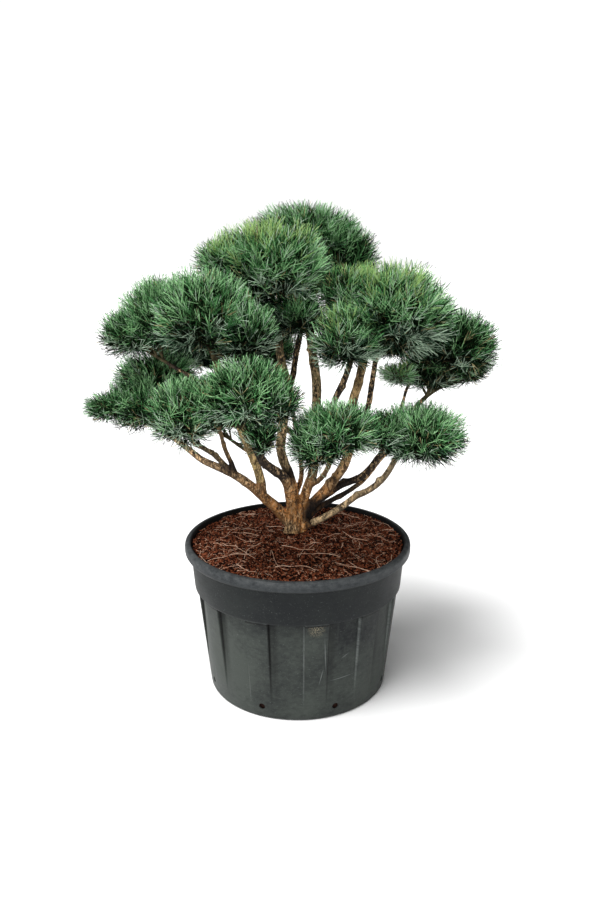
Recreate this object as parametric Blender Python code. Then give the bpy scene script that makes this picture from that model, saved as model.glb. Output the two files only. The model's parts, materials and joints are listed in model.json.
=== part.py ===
"""A cloud-pruned Scots pine with several stems, standing in a round fluted nursery pot.

The trunk, each bough, each mass of foliage, the soil and the pot are solids of their own.
Metres, +Z up; the pot's axis is the Z axis, its underside is at z = 0 and its front faces -Y.
"""

import math
import random
from dataclasses import dataclass

import bmesh
import bpy
import numpy as np

# General sizes
GAP = 0.0003
CLEARANCE = 0.005
SEED = 41

# Pot: radius and height of each step of the outer side, from the rim down
RIM_HEIGHT = 0.585
RIM_INNER_RADIUS = 0.411
LIP = ((0.424, 0.585), (0.434, 0.574), (0.434, 0.552), (0.427, 0.542), (0.413, 0.541))
COLLAR = ((0.410, 0.536), (0.400, 0.412), (0.395, 0.4065))
BODY_TOP = 0.404
BODY_STEPS = (0.404, 0.250, 0.140)
BODY_TOP_RADIUS = 0.390
BASE_RADIUS = 0.346
BASE_ROUNDING = 0.010
WALL = 0.004
FLOOR = 0.006

# Flutes: shallow recesses in the body that fade out above the base
FLUTES = 11
FLUTE_DEPTH = 0.017
FLUTE_FOOT = 0.070
FLUTE_FLOOR_HALF = math.radians(8.7)
FLUTE_EDGE_HALF = math.radians(10.4)
FLUTE_PHASE = math.radians(-6.0)

# Drain holes round the foot
HOLES = 8
HOLE_RADIUS = 0.012
HOLE_HEIGHT = 0.048
HOLE_PHASE = math.radians(-21.8)

# Soil: height at the wall, height under the trunk, and how far the flat middle reaches
SOIL_EDGE = 0.571
SOIL_MIDDLE = 0.585
SOIL_FLAT_RADIUS = 0.150
SOIL_LUMPS = 0.004

# Trunk foot: (height, radius) from the cut at soil level upwards
FOOT = (-0.016, 0.068)
STUMP = ((0.585, 0.042), (0.600, 0.038), (0.622, 0.035), (0.650, 0.033), (0.676, 0.026))
STUMP_LEAN = (0.010, 0.006)
ROOT_LOBES = 5
ROOT_FLARE = 0.24
STUMP_SIDES = 10

# Foliage: cores and spikes as shares of a lobe's radii, sprays in metres
BOXINESS = 2.2
CORE_SHARE = 0.87
UNDERSIDE = 0.92
CORE_ROUGHNESS = 0.03
CORE_POINTS_PER_AREA = 170.0
SPIKE_EVERY = 3
SPIKE_SHARES = (1.00, 1.10)
SPIKE_LOWEST = -0.75
SPRAYS_PER_AREA = 28.0
SPRAY_BEYOND = 0.024
SPRAY_ROOT = 0.028
SPRAY_HALF_THICKNESS = 0.005
SPRAY_LOWEST = -0.70
UPWARD_TURN = 0.25
BURIED_SHARE = 0.80
ENTRY = 1.02
NEIGHBOUR_MARGIN = 0.05
TWIGS_PER_LOBE = 3
TWIG_RADIUS = 0.0045

# Outline of one spray, as (along, across) shares of its length: a root and three needle tips
SPRAY_OUTLINE = (
    (0.00, 0.00),
    (0.74, 0.50),
    (0.56, 0.17),
    (1.00, 0.05),
    (0.56, -0.17),
    (0.78, -0.48),
)
SPRAY_RIDGE = 0.40


@dataclass(frozen=True)
class Limb:
    """A bough: the limb that it grows from, its radius at both ends, its sides and its route."""

    parent: str
    start_radius: float
    end_radius: float
    sides: int
    route: tuple


LIMBS = {
    "bough_left_low": Limb("trunk", 0.0266, 0.0090, 8, (
        (-0.017, 0.066, 0.600), (-0.052, 0.058, 0.647), (-0.092, 0.035, 0.701), (-0.135, 0.010, 0.748),
        (-0.177, -0.005, 0.793), (-0.230, -0.025, 0.839), (-0.277, -0.035, 0.868), (-0.317, -0.040, 0.887),
        (-0.358, -0.036, 0.907), (-0.403, -0.025, 0.940), (-0.489, -0.010, 1.006), (-0.568, 0.030, 1.058))),
    "bough_left_high": Limb("bough_left_low", 0.0185, 0.0135, 8, (
        (-0.135, 0.010, 0.748), (-0.139, -0.006, 0.809), (-0.152, -0.030, 0.872), (-0.169, -0.050, 0.928),
        (-0.189, -0.065, 0.986), (-0.217, -0.085, 1.070), (-0.242, -0.110, 1.160), (-0.269, -0.140, 1.248),
        (-0.285, -0.170, 1.313), (-0.290, -0.200, 1.376))),
    "bough_left_outer": Limb("bough_left_high", 0.0095, 0.0065, 6, (
        (-0.217, -0.085, 1.070), (-0.263, -0.080, 1.132), (-0.334, -0.075, 1.193), (-0.405, -0.070, 1.239),
        (-0.478, -0.050, 1.279), (-0.535, -0.020, 1.315))),
    "bough_left_front": Limb("bough_left_low", 0.0110, 0.0085, 6, (
        (-0.230, -0.025, 0.839), (-0.265, -0.045, 0.880), (-0.288, -0.070, 0.915), (-0.306, -0.100, 0.946),
        (-0.326, -0.140, 0.972), (-0.354, -0.200, 1.010), (-0.364, -0.250, 1.038), (-0.376, -0.300, 1.083))),
    "bough_left_inner": Limb("bough_left_low", 0.0095, 0.0070, 6, (
        (-0.230, -0.025, 0.839), (-0.243, -0.035, 0.881), (-0.259, -0.060, 0.931), (-0.268, -0.100, 0.980),
        (-0.273, -0.150, 1.034), (-0.282, -0.220, 1.102), (-0.291, -0.260, 1.139))),
    "bough_front": Limb("trunk", 0.0262, 0.0105, 8, (
        (-0.013, 0.066, 0.605), (-0.020, 0.055, 0.675), (-0.028, 0.035, 0.735), (-0.038, 0.010, 0.794),
        (-0.059, -0.020, 0.839), (-0.087, -0.060, 0.871), (-0.122, -0.110, 0.917), (-0.138, -0.170, 0.966),
        (-0.150, -0.250, 1.027), (-0.152, -0.330, 1.100))),
    "bough_centre": Limb("trunk", 0.0220, 0.0145, 8, (
        (-0.005, 0.075, 0.610), (-0.009, 0.075, 0.668), (-0.014, 0.066, 0.725), (-0.022, 0.048, 0.780),
        (-0.033, 0.034, 0.829), (-0.052, 0.022, 0.880), (-0.064, 0.015, 0.933), (-0.060, 0.010, 0.982),
        (-0.048, 0.000, 1.088), (-0.033, -0.005, 1.172), (-0.051, -0.005, 1.239), (-0.065, -0.010, 1.306),
        (-0.068, -0.010, 1.368), (-0.075, -0.010, 1.429))),
    "bough_crown_dark": Limb("bough_centre", 0.0120, 0.0105, 6, (
        (-0.033, -0.005, 1.172), (-0.018, 0.020, 1.208), (-0.011, 0.045, 1.253), (0.002, 0.070, 1.327),
        (0.017, 0.085, 1.381), (0.022, 0.090, 1.440))),
    "bough_tall": Limb("trunk", 0.0208, 0.0160, 8, (
        (0.007, 0.076, 0.618), (0.015, 0.078, 0.675), (0.036, 0.066, 0.758), (0.056, 0.056, 0.818),
        (0.065, 0.055, 0.899), (0.070, 0.062, 0.996), (0.072, 0.080, 1.109), (0.070, 0.095, 1.191),
        (0.059, 0.115, 1.264), (0.049, 0.150, 1.339), (0.042, 0.190, 1.406), (0.050, 0.240, 1.478),
        (0.066, 0.290, 1.535), (0.066, 0.330, 1.609))),
    "bough_back_thin": Limb("bough_centre", 0.0110, 0.0070, 6, (
        (-0.014, 0.066, 0.725), (0.005, 0.085, 0.764), (0.015, 0.100, 0.809), (0.011, 0.120, 0.860),
        (-0.001, 0.150, 0.933), (-0.017, 0.190, 1.025), (-0.037, 0.240, 1.107), (-0.073, 0.290, 1.179),
        (-0.114, 0.320, 1.231))),
    "bough_front_centre": Limb("bough_tall", 0.0115, 0.0085, 6, (
        (0.036, 0.066, 0.758), (0.057, 0.045, 0.785), (0.076, 0.010, 0.808), (0.093, -0.050, 0.845),
        (0.106, -0.120, 0.891), (0.114, -0.200, 0.941), (0.118, -0.270, 0.990))),
    "bough_right_high": Limb("trunk", 0.0220, 0.0158, 8, (
        (0.007, 0.075, 0.614), (0.031, 0.082, 0.662), (0.078, 0.080, 0.716), (0.113, 0.075, 0.755),
        (0.143, 0.066, 0.797), (0.173, 0.056, 0.848), (0.191, 0.050, 0.896), (0.205, 0.045, 0.961),
        (0.207, 0.030, 1.043), (0.207, 0.018, 1.118), (0.222, 0.005, 1.177), (0.233, -0.008, 1.236),
        (0.244, -0.020, 1.293), (0.260, -0.030, 1.345))),
    "bough_right_inner": Limb("bough_tall", 0.0135, 0.0110, 6, (
        (0.056, 0.056, 0.818), (0.072, 0.045, 0.889), (0.098, 0.030, 0.984), (0.123, 0.015, 1.069),
        (0.137, 0.005, 1.121), (0.162, -0.010, 1.180), (0.182, -0.030, 1.240), (0.196, -0.050, 1.294),
        (0.210, -0.070, 1.347))),
    "bough_right_back": Limb("bough_right_high", 0.0125, 0.0105, 6, (
        (0.143, 0.066, 0.797), (0.183, 0.100, 0.858), (0.223, 0.140, 0.936), (0.260, 0.190, 1.013),
        (0.284, 0.225, 1.066), (0.295, 0.260, 1.129), (0.306, 0.290, 1.183), (0.319, 0.330, 1.242),
        (0.342, 0.380, 1.296))),
    "bough_right_outer": Limb("trunk", 0.0192, 0.0090, 8, (
        (0.015, 0.080, 0.608), (0.051, 0.092, 0.673), (0.106, 0.098, 0.721), (0.165, 0.110, 0.758),
        (0.213, 0.120, 0.774), (0.253, 0.130, 0.789), (0.288, 0.138, 0.820), (0.315, 0.143, 0.859),
        (0.358, 0.150, 0.913), (0.408, 0.160, 0.992), (0.454, 0.165, 1.055), (0.501, 0.168, 1.102),
        (0.560, 0.170, 1.157), (0.600, 0.170, 1.204))),
    "bough_right_fork": Limb("bough_right_outer", 0.0080, 0.0065, 6, (
        (0.358, 0.150, 0.913), (0.376, 0.155, 0.981), (0.394, 0.150, 1.042), (0.407, 0.140, 1.084),
        (0.416, 0.125, 1.133), (0.424, 0.110, 1.161), (0.435, 0.090, 1.199))),
    "bough_right_low": Limb("trunk", 0.0150, 0.0105, 8, (
        (0.015, 0.064, 0.601), (0.058, 0.056, 0.621), (0.097, 0.050, 0.644), (0.132, 0.045, 0.666),
        (0.180, 0.030, 0.705), (0.226, 0.010, 0.748), (0.271, -0.020, 0.782), (0.305, -0.050, 0.821),
        (0.328, -0.085, 0.865), (0.346, -0.120, 0.914), (0.358, -0.155, 0.961), (0.369, -0.180, 1.001))),
    "bough_back_left": Limb("bough_back_thin", 0.0095, 0.0070, 6, (
        (-0.001, 0.150, 0.933), (-0.045, 0.200, 0.970), (-0.140, 0.300, 1.041), (-0.285, 0.400, 1.126),
        (-0.391, 0.440, 1.203), (-0.424, 0.450, 1.265))),
    "bough_back_low_left": Limb("trunk", 0.0130, 0.0080, 6, (
        (-0.009, 0.080, 0.616), (-0.013, 0.120, 0.682), (-0.037, 0.170, 0.737), (-0.083, 0.240, 0.770),
        (-0.135, 0.300, 0.791), (-0.187, 0.350, 0.816), (-0.239, 0.380, 0.842))),
    "bough_back_low_right": Limb("trunk", 0.0130, 0.0080, 6, (
        (0.027, 0.085, 0.614), (0.075, 0.110, 0.660), (0.135, 0.135, 0.689), (0.184, 0.155, 0.708),
        (0.229, 0.180, 0.729), (0.271, 0.210, 0.754), (0.309, 0.240, 0.791), (0.348, 0.270, 0.830),
        (0.395, 0.300, 0.860))),
}

# Foliage masses: the bough that carries each, and its lobes as (x, y, z, radius x, radius y, radius z)
MASSES = {
    "foliage_crown_back": ("bough_tall", (
        (0.023, 0.360, 1.689, 0.225, 0.200, 0.141), (0.173, 0.340, 1.609, 0.146, 0.180, 0.143))),
    "foliage_crown_front": ("bough_centre", (
        (-0.095, -0.010, 1.594, 0.216, 0.210, 0.174), (-0.253, -0.020, 1.626, 0.109, 0.130, 0.084),
        (-0.006, -0.020, 1.448, 0.129, 0.140, 0.116))),
    "foliage_left_upper_outer": ("bough_left_outer", (
        (-0.594, 0.000, 1.370, 0.123, 0.140, 0.098), (-0.490, 0.000, 1.424, 0.144, 0.150, 0.152))),
    "foliage_left_upper_inner": ("bough_left_high", (
        (-0.310, -0.220, 1.452, 0.167, 0.160, 0.161), (-0.176, -0.230, 1.393, 0.111, 0.120, 0.117))),
    "foliage_left_lower": ("bough_left_low", (
        (-0.684, 0.020, 1.099, 0.108, 0.140, 0.058), (-0.575, 0.040, 1.094, 0.139, 0.160, 0.108),
        (-0.536, 0.100, 1.194, 0.159, 0.130, 0.104))),
    "foliage_front_left": ("bough_front", (
        (-0.370, -0.400, 1.158, 0.110, 0.150, 0.121), (-0.267, -0.410, 1.203, 0.099, 0.140, 0.081),
        (-0.160, -0.420, 1.228, 0.140, 0.170, 0.120), (-0.072, -0.410, 1.209, 0.093, 0.130, 0.079),
        (-0.113, -0.370, 1.086, 0.053, 0.090, 0.078))),
    "foliage_front_centre": ("bough_front_centre", (
        (0.140, -0.360, 1.098, 0.132, 0.150, 0.098), (0.065, -0.360, 1.060, 0.099, 0.140, 0.110))),
    "foliage_right_lower": ("bough_right_low", (
        (0.429, -0.220, 1.045, 0.160, 0.170, 0.113), (0.286, -0.250, 1.063, 0.082, 0.120, 0.079))),
    "foliage_right_upper": ("bough_right_high", (
        (0.330, -0.050, 1.447, 0.227, 0.220, 0.174), (0.164, -0.140, 1.369, 0.121, 0.120, 0.129),
        (0.167, -0.040, 1.520, 0.113, 0.130, 0.096), (0.351, 0.020, 1.349, 0.121, 0.130, 0.088))),
    "foliage_right_outer": ("bough_right_outer", (
        (0.601, 0.160, 1.303, 0.165, 0.190, 0.137), (0.514, 0.190, 1.201, 0.121, 0.120, 0.100),
        (0.664, 0.180, 1.207, 0.078, 0.090, 0.068))),
    "foliage_right_fork": ("bough_right_fork", ((0.368, 0.000, 1.225, 0.077, 0.080, 0.051),)),
    "foliage_centre_back": ("bough_back_thin", ((-0.140, 0.360, 1.262, 0.147, 0.140, 0.112),)),
    "foliage_back_left": ("bough_back_left", (
        (-0.459, 0.460, 1.376, 0.224, 0.190, 0.137), (-0.433, 0.420, 1.248, 0.149, 0.140, 0.096))),
    "foliage_back_right": ("bough_right_back", ((0.401, 0.500, 1.396, 0.210, 0.190, 0.148),)),
    "foliage_back_low_left": ("bough_back_low_left", (
        (-0.387, 0.420, 1.002, 0.194, 0.180, 0.131), (-0.166, 0.300, 0.907, 0.078, 0.100, 0.094))),
    "foliage_back_low_right": ("bough_back_low_right", ((0.493, 0.360, 0.887, 0.151, 0.150, 0.105),)),
}


# Scene, materials and joining

def clear_scene():
    for obj in list(bpy.data.objects):
        bpy.data.objects.remove(obj)


def new_collection(name, hidden=False):
    collection = bpy.data.collections.new(name)
    bpy.context.scene.collection.children.link(collection)
    collection.hide_render = hidden
    return collection


def new_material(name, color, roughness):
    material = bpy.data.materials.new(name)
    material.use_nodes = True
    shader = material.node_tree.nodes["Principled BSDF"]
    shader.inputs["Base Color"].default_value = (*color, 1.0)
    shader.inputs["Roughness"].default_value = roughness
    return material


def new_object(name, verts, faces, collection):
    mesh = bpy.data.meshes.new(name)
    mesh.from_pydata([tuple(map(float, vert)) for vert in verts], [], faces)
    shell = bmesh.new()
    shell.from_mesh(mesh)
    bmesh.ops.recalc_face_normals(shell, faces=shell.faces)
    shell.to_mesh(mesh)
    shell.free()
    obj = bpy.data.objects.new(name, mesh)
    collection.objects.link(obj)
    return obj


def keep_largest_shell(mesh):
    """Drops loose scraps and sealed hollows: every connected set of faces but the largest."""
    shell = bmesh.new()
    shell.from_mesh(mesh)
    shell.faces.ensure_lookup_table()
    unseen = set(shell.faces)
    shells = []
    while unseen:
        stack = [unseen.pop()]
        found = set(stack)
        while stack:
            for edge in stack.pop().edges:
                for face in edge.link_faces:
                    if face in unseen:
                        unseen.discard(face)
                        found.add(face)
                        stack.append(face)
        shells.append(found)
    largest = max(shells, key=len)
    scraps = [face for face in shell.faces if face not in largest]
    bmesh.ops.delete(shell, geom=scraps, context="FACES")
    shell.to_mesh(mesh)
    shell.free()


def join(name, shapes, collection):
    """One body from overlapping closed shapes, each given as (vertices, faces)."""
    body = new_object(name, *shapes[0], collection)
    if len(shapes) == 1:
        return body
    helpers = new_collection(name + "_parts")
    for index, shape in enumerate(shapes[1:]):
        new_object(f"{name}_part{index}", *shape, helpers)
    union = body.modifiers.new("join", "BOOLEAN")
    union.operation = "UNION"
    union.operand_type = "COLLECTION"
    union.collection = helpers
    union.solver = "MANIFOLD"
    bpy.context.view_layer.update()
    graph = bpy.context.evaluated_depsgraph_get()
    joined = bpy.data.meshes.new_from_object(body.evaluated_get(graph))
    body.modifiers.clear()
    body.data = joined
    for helper in list(helpers.objects):
        bpy.data.objects.remove(helper)
    bpy.data.collections.remove(helpers)
    keep_largest_shell(joined)
    return body


# Limbs

def unit(vector):
    return vector / np.linalg.norm(vector)


def smooth_route(route, spacing=0.01):
    """Points about `spacing` apart on a smooth curve through the route."""
    knots = np.array(route, float)
    knots = np.vstack([2 * knots[0] - knots[1], knots, 2 * knots[-1] - knots[-2]])
    points = []
    for index in range(1, len(knots) - 2):
        before, start, end, after = knots[index - 1:index + 3]
        steps = max(2, round(np.linalg.norm(end - start) / spacing))
        for t in np.arange(steps) / steps:
            points.append(0.5 * (2 * start + (end - before) * t
                                 + (2 * before - 5 * start + 4 * end - after) * t ** 2
                                 + (3 * start - before - 3 * end + after) * t ** 3))
    points.append(knots[-2])
    return np.array(points)


def directions(path):
    steps = np.gradient(path, axis=0)
    return steps / np.linalg.norm(steps, axis=1)[:, None]


def tube(points, ways, radii, sides):
    """A closed tapering tube with a flat end at both ends."""
    side = unit(np.cross(ways[0], (0.31, 0.95, 0.11)))
    verts = []
    for point, way, radius in zip(points, ways, radii):
        side = unit(side - way * side.dot(way))
        other = np.cross(way, side)
        for step in range(sides):
            angle = 2 * math.pi * step / sides
            verts.append(point + radius * (side * math.cos(angle) + other * math.sin(angle)))
    faces = [tuple(range(sides))[::-1], tuple(range(len(verts) - sides, len(verts)))]
    for ring in range(len(points) - 1):
        for step in range(sides):
            first = ring * sides + step
            second = ring * sides + (step + 1) % sides
            faces.append((first, second, second + sides, first + sides))
    return verts, faces


class Grown:
    """A limb laid out along its smoothed route, with the length of it that its parent carries."""

    def __init__(self, limb):
        self.limb = limb
        route = smooth_route(limb.route)
        out = np.min([norm_in(lobes, route) for _, lobes in MASSES.values()], axis=0)
        inside = np.nonzero(out < ENTRY)[0]
        self.path = route[:inside[0]] if len(inside) else route
        self.ways = directions(self.path)
        lengths = np.linalg.norm(np.diff(self.path, axis=0), axis=1)
        share = np.concatenate([[0.0], np.cumsum(lengths)]) / lengths.sum()
        self.radii = limb.start_radius + (limb.end_radius - limb.start_radius) * share ** 0.8
        self.split = 0

    def clears(self, others):
        """Sets the split where the limb first stands clear of every other one, up to its tip."""
        gap = np.full(len(self.path), np.inf)
        for path, radii in others:
            apart = np.linalg.norm(self.path[:, None] - path[None], axis=2) - radii[None]
            gap = np.minimum(gap, apart.min(axis=1) - self.radii)
        touching = np.nonzero(gap < CLEARANCE)[0]
        self.split = int(touching[-1]) + 1 if len(touching) else 2
        if self.split > len(self.path) - 4:
            raise ValueError("a limb never stands clear of the others")

    def stretch(self, first, last, every=7):
        picked = list(range(first, last, every))
        if last - picked[-1] < every // 2 and len(picked) > 1:
            picked.pop()
        return picked + [last]

    def stub(self):
        picked = self.stretch(0, self.split, 4)
        return tube(self.path[picked], self.ways[picked], self.radii[picked], self.limb.sides)

    def free(self):
        picked = self.stretch(self.split, len(self.path) - 1)
        points = self.path[picked].copy()
        points[0] += self.ways[self.split] * GAP
        return tube(points, self.ways[picked], self.radii[picked], self.limb.sides)

    def tip(self):
        return self.path[-1] + self.ways[-1] * GAP, self.ways[-1], self.radii[-1]


def stump():
    """The trunk's foot: a leaning cone with root flares, cut flat where it meets the soil."""
    verts = []
    low, high = STUMP[0][0], STUMP[-1][0]
    for height, radius in STUMP:
        rise = (height - low) / (high - low)
        flare = ROOT_FLARE * (1 - rise) ** 3
        for step in range(STUMP_SIDES):
            angle = 2 * math.pi * step / STUMP_SIDES
            reach = radius * (1 + flare * math.cos(ROOT_LOBES * angle))
            verts.append((FOOT[0] + STUMP_LEAN[0] * rise + reach * math.cos(angle),
                          FOOT[1] + STUMP_LEAN[1] * rise + reach * math.sin(angle), height))
    rings = len(STUMP)
    faces = [tuple(range(STUMP_SIDES))[::-1], tuple(range((rings - 1) * STUMP_SIDES, rings * STUMP_SIDES))]
    for ring in range(rings - 1):
        for step in range(STUMP_SIDES):
            first = ring * STUMP_SIDES + step
            second = ring * STUMP_SIDES + (step + 1) % STUMP_SIDES
            faces.append((first, second, second + STUMP_SIDES, first + STUMP_SIDES))
    return verts, faces


def grow_limbs():
    grown = {name: Grown(limb) for name, limb in LIMBS.items()}
    heights = np.linspace(STUMP[0][0], STUMP[-1][0], 12)
    foot = np.array([(FOOT[0], FOOT[1], height) for height in heights])
    foot_radii = np.interp(heights, *zip(*STUMP))
    for name, limb in grown.items():
        others = [(foot, foot_radii)] if limb.limb.parent == "trunk" else []
        for other_name, other in grown.items():
            if other_name == name or other.limb.parent == name:
                continue
            others.append((other.path, other.radii))
        limb.clears(others)
    return grown


def build_wood(grown, collection, bark):
    stubs = {name: [] for name in ["trunk", *grown]}
    for limb in grown.values():
        stubs[limb.limb.parent].append(limb.stub())
    trunk = join("trunk", [stump()] + stubs["trunk"], collection)
    trunk.data.materials.append(bark)
    for name, limb in grown.items():
        bough = join(name, [limb.free()] + stubs[name], collection)
        bough.data.materials.append(bark)


# Foliage

def norm_in(lobes, points):
    """How far out each point is in the nearest lobe: 1 on its surface, less inside."""
    points = np.atleast_2d(points)
    lobes = np.array(lobes)
    offsets = np.abs((points[:, None] - lobes[None, :, :3]) / lobes[None, :, 3:])
    return ((offsets ** BOXINESS).sum(axis=2) ** (1 / BOXINESS)).min(axis=1)


def spread(count, rng, jitter=0.0):
    """Directions dealt evenly over a ball, from its top down."""
    for step in range(count):
        high = 1 - 2 * (step + 0.5) / count
        angle = step * math.pi * (3 - math.sqrt(5)) + rng.uniform(-jitter, jitter)
        flat = math.sqrt(1 - high * high)
        yield step, np.array([flat * math.cos(angle), flat * math.sin(angle), high])


def on_lobe(way):
    """The direction's point on the slightly boxy ball of radius 1."""
    return way / (np.abs(way) ** BOXINESS).sum() ** (1 / BOXINESS)


def surface_area(lobe):
    across, deep, high = lobe[3:]
    return 4 * (across * deep + deep * high + across * high)


def inside_own_space(points, lobes, others, limbs):
    """Whether points are nearer their own mass than any other one, and clear of every limb."""
    own = norm_in(lobes, points)
    if min((norm_in(other, points) - own).min() for other in others) < NEIGHBOUR_MARGIN:
        return False
    for path, radii in limbs:
        apart = np.linalg.norm(points[:, None] - path[None], axis=2) - radii[None]
        if apart.min() < 2 * CLEARANCE:
            return False
    return True


def core(lobe, lobes, others, limbs, rng):
    """A ball of low and high points inside the lobe, flatter and plainer below."""
    centre, radii = np.array(lobe[:3]), np.array(lobe[3:])
    ball = bmesh.new()
    for step, way in spread(round(CORE_POINTS_PER_AREA * surface_area(lobe)), rng):
        ball.verts.new(way)
    ball.verts.index_update()
    bmesh.ops.convex_hull(ball, input=ball.verts)
    verts = []
    for vert in ball.verts:
        way = np.array(vert.co)
        share = CORE_SHARE * (1 + rng.uniform(-CORE_ROUGHNESS, CORE_ROUGHNESS))
        if vert.index % SPIKE_EVERY == 0 and way[2] > SPIKE_LOWEST:
            share = rng.uniform(*SPIKE_SHARES)
        offset = on_lobe(way) * radii * share
        if way[2] < 0:
            offset[2] *= UNDERSIDE
        while not inside_own_space((centre + offset)[None], lobes, others, limbs):
            offset *= 0.96
        verts.append(centre + offset)
    faces = [tuple(vert.index for vert in face.verts) for face in ball.faces]
    ball.free()
    return verts, faces


def spray(root, way, length, turn):
    """A toothed blade: a flat fan of needles with a ridge on both of its sides."""
    across = unit(np.cross(way, (0.20, 0.11, 0.97)))
    other = np.cross(way, across)
    across = across * math.cos(turn) + other * math.sin(turn)
    thick = np.cross(way, across)
    verts = [root + length * (along * way + aside * across) for along, aside in SPRAY_OUTLINE]
    ridge = root + SPRAY_RIDGE * length * way
    verts += [ridge + SPRAY_HALF_THICKNESS * thick, ridge - SPRAY_HALF_THICKNESS * thick]
    count = len(SPRAY_OUTLINE)
    faces = []
    for step in range(count):
        after = (step + 1) % count
        faces.append((step, after, count))
        faces.append((after, step, count + 1))
    return verts, faces


def sprays(lobes, others, limbs, rng):
    """Sprays that stand out of the core all round, fewer below, each within the mass's own space."""
    shapes = []
    for lobe in lobes:
        centre, radii = np.array(lobe[:3]), np.array(lobe[3:])
        reach = (1 - CORE_SHARE) * radii.mean() + SPRAY_BEYOND
        for _, ball in spread(round(SPRAYS_PER_AREA * surface_area(lobe)), rng, 0.25):
            if ball[2] < SPRAY_LOWEST:
                continue
            foot = on_lobe(ball) * radii * CORE_SHARE
            if ball[2] < 0:
                foot[2] *= UNDERSIDE
            way = unit(unit(ball / radii) + np.array([0.0, 0.0, UPWARD_TURN]))
            root = centre + foot - way * SPRAY_ROOT
            length = (SPRAY_ROOT + reach) * rng.uniform(0.85, 1.1)
            shape = spray(root, way, length, rng.uniform(0, math.pi))
            points = np.array(shape[0])
            buried = norm_in(lobes, centre + foot)[0] < BURIED_SHARE * CORE_SHARE
            if buried or not inside_own_space(points, lobes, others, limbs):
                continue
            shapes.append(shape)
    return shapes


def twigs(lobes, tip, way, radius, rng):
    """The stem that takes over from the bough's tip, and the twigs that fork from it into each lobe."""
    shapes = []
    first = np.array(lobes[0])
    heart = first[:3] - np.array([0.0, 0.0, 0.35 * first[5]])
    reach = np.linalg.norm(heart - tip)
    bend = tip + way * reach * 0.4
    points = np.array([tip, bend, heart])
    ways = np.array([way, unit(heart - tip), unit(heart - bend)])
    shapes.append(tube(points, ways, [radius, radius * 0.85, radius * 0.6], 6))
    for lobe in lobes:
        lobe = np.array(lobe)
        turn = rng.uniform(0, math.pi)
        for step in range(TWIGS_PER_LOBE):
            angle = turn + step * 2 * math.pi / TWIGS_PER_LOBE
            aim = lobe[:3] + lobe[3:] * (0.55 * math.cos(angle), 0.55 * math.sin(angle), -0.42)
            start = tip + way * reach * 0.22
            middle = start + (aim - start) * 0.5 + np.array([0.0, 0.0, -0.006])
            points = np.array([start, middle, aim])
            ways = np.array([unit(middle - start), unit(aim - start), unit(aim - middle)])
            shapes.append(tube(points, ways, [TWIG_RADIUS, TWIG_RADIUS * 0.8, TWIG_RADIUS * 0.6], 3))
    return shapes


def build_foliage(grown, collection, green):
    limbs = [(limb.path, limb.radii) for limb in grown.values()]
    for index, (name, (bough, lobes)) in enumerate(MASSES.items()):
        rng = random.Random(SEED + index)
        tip, way, radius = grown[bough].tip()
        others = [other for key, (_, other) in MASSES.items() if key != name]
        shapes = [core(lobe, lobes, others, limbs, rng) for lobe in lobes]
        shapes += twigs(lobes, tip, way, radius, rng)
        shapes += sprays(lobes, others, limbs, rng)
        mass = join(name, shapes, collection)
        mass.data.materials.append(green)


# Pot and soil

def pot_angles():
    """The angles of the pot's corners: the floor, edges and land of each flute, from the front round."""
    pitch = 2 * math.pi / FLUTES
    marks = (-FLUTE_FLOOR_HALF, 0.0, FLUTE_FLOOR_HALF, FLUTE_EDGE_HALF, pitch - FLUTE_EDGE_HALF)
    return [(FLUTE_PHASE + pitch * flute + mark, place < 3) for flute in range(FLUTES)
            for place, mark in enumerate(marks)]


def body_radius(height):
    return BASE_RADIUS + (BODY_TOP_RADIUS - BASE_RADIUS) * min(1.0, height / BODY_TOP)


def flute_depth(height):
    rise = (min(height, BODY_TOP) - FLUTE_FOOT) / (BODY_TOP - FLUTE_FOOT)
    return FLUTE_DEPTH * max(0.0, rise) ** 0.8


def ring(radius, height, recess=0.0):
    return [((radius - recess * sunk) * math.sin(angle), -(radius - recess * sunk) * math.cos(angle), height)
            for angle, sunk in pot_angles()]


def lathe(rings, low_centre, high_centre):
    """A closed body from rings that run from one centre point to the other."""
    verts = [low_centre, high_centre]
    for one in rings:
        verts += one
    count = len(rings[0])
    faces = []
    for step in range(count):
        after = (step + 1) % count
        faces.append((0, 2 + after, 2 + step))
        last = 2 + (len(rings) - 1) * count
        faces.append((1, last + step, last + after))
    for row in range(len(rings) - 1):
        for step in range(count):
            first = 2 + row * count + step
            second = 2 + row * count + (step + 1) % count
            faces.append((first, second, second + count, first + count))
    return verts, faces


def inner_rings(inset):
    """The rings of the pot's inner side, from the floor up to the soil's edge."""
    rings = []
    for height in (FLOOR, FLUTE_FOOT, 0.200, BODY_TOP - 0.004):
        rings.append((body_radius(height) - WALL - inset, height, flute_depth(height)))
    rings.append((COLLAR[1][0] - WALL - inset, 0.425, 0.0))
    rings.append((COLLAR[0][0] - WALL - inset, SOIL_EDGE - 0.025, 0.0))
    return rings


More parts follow.
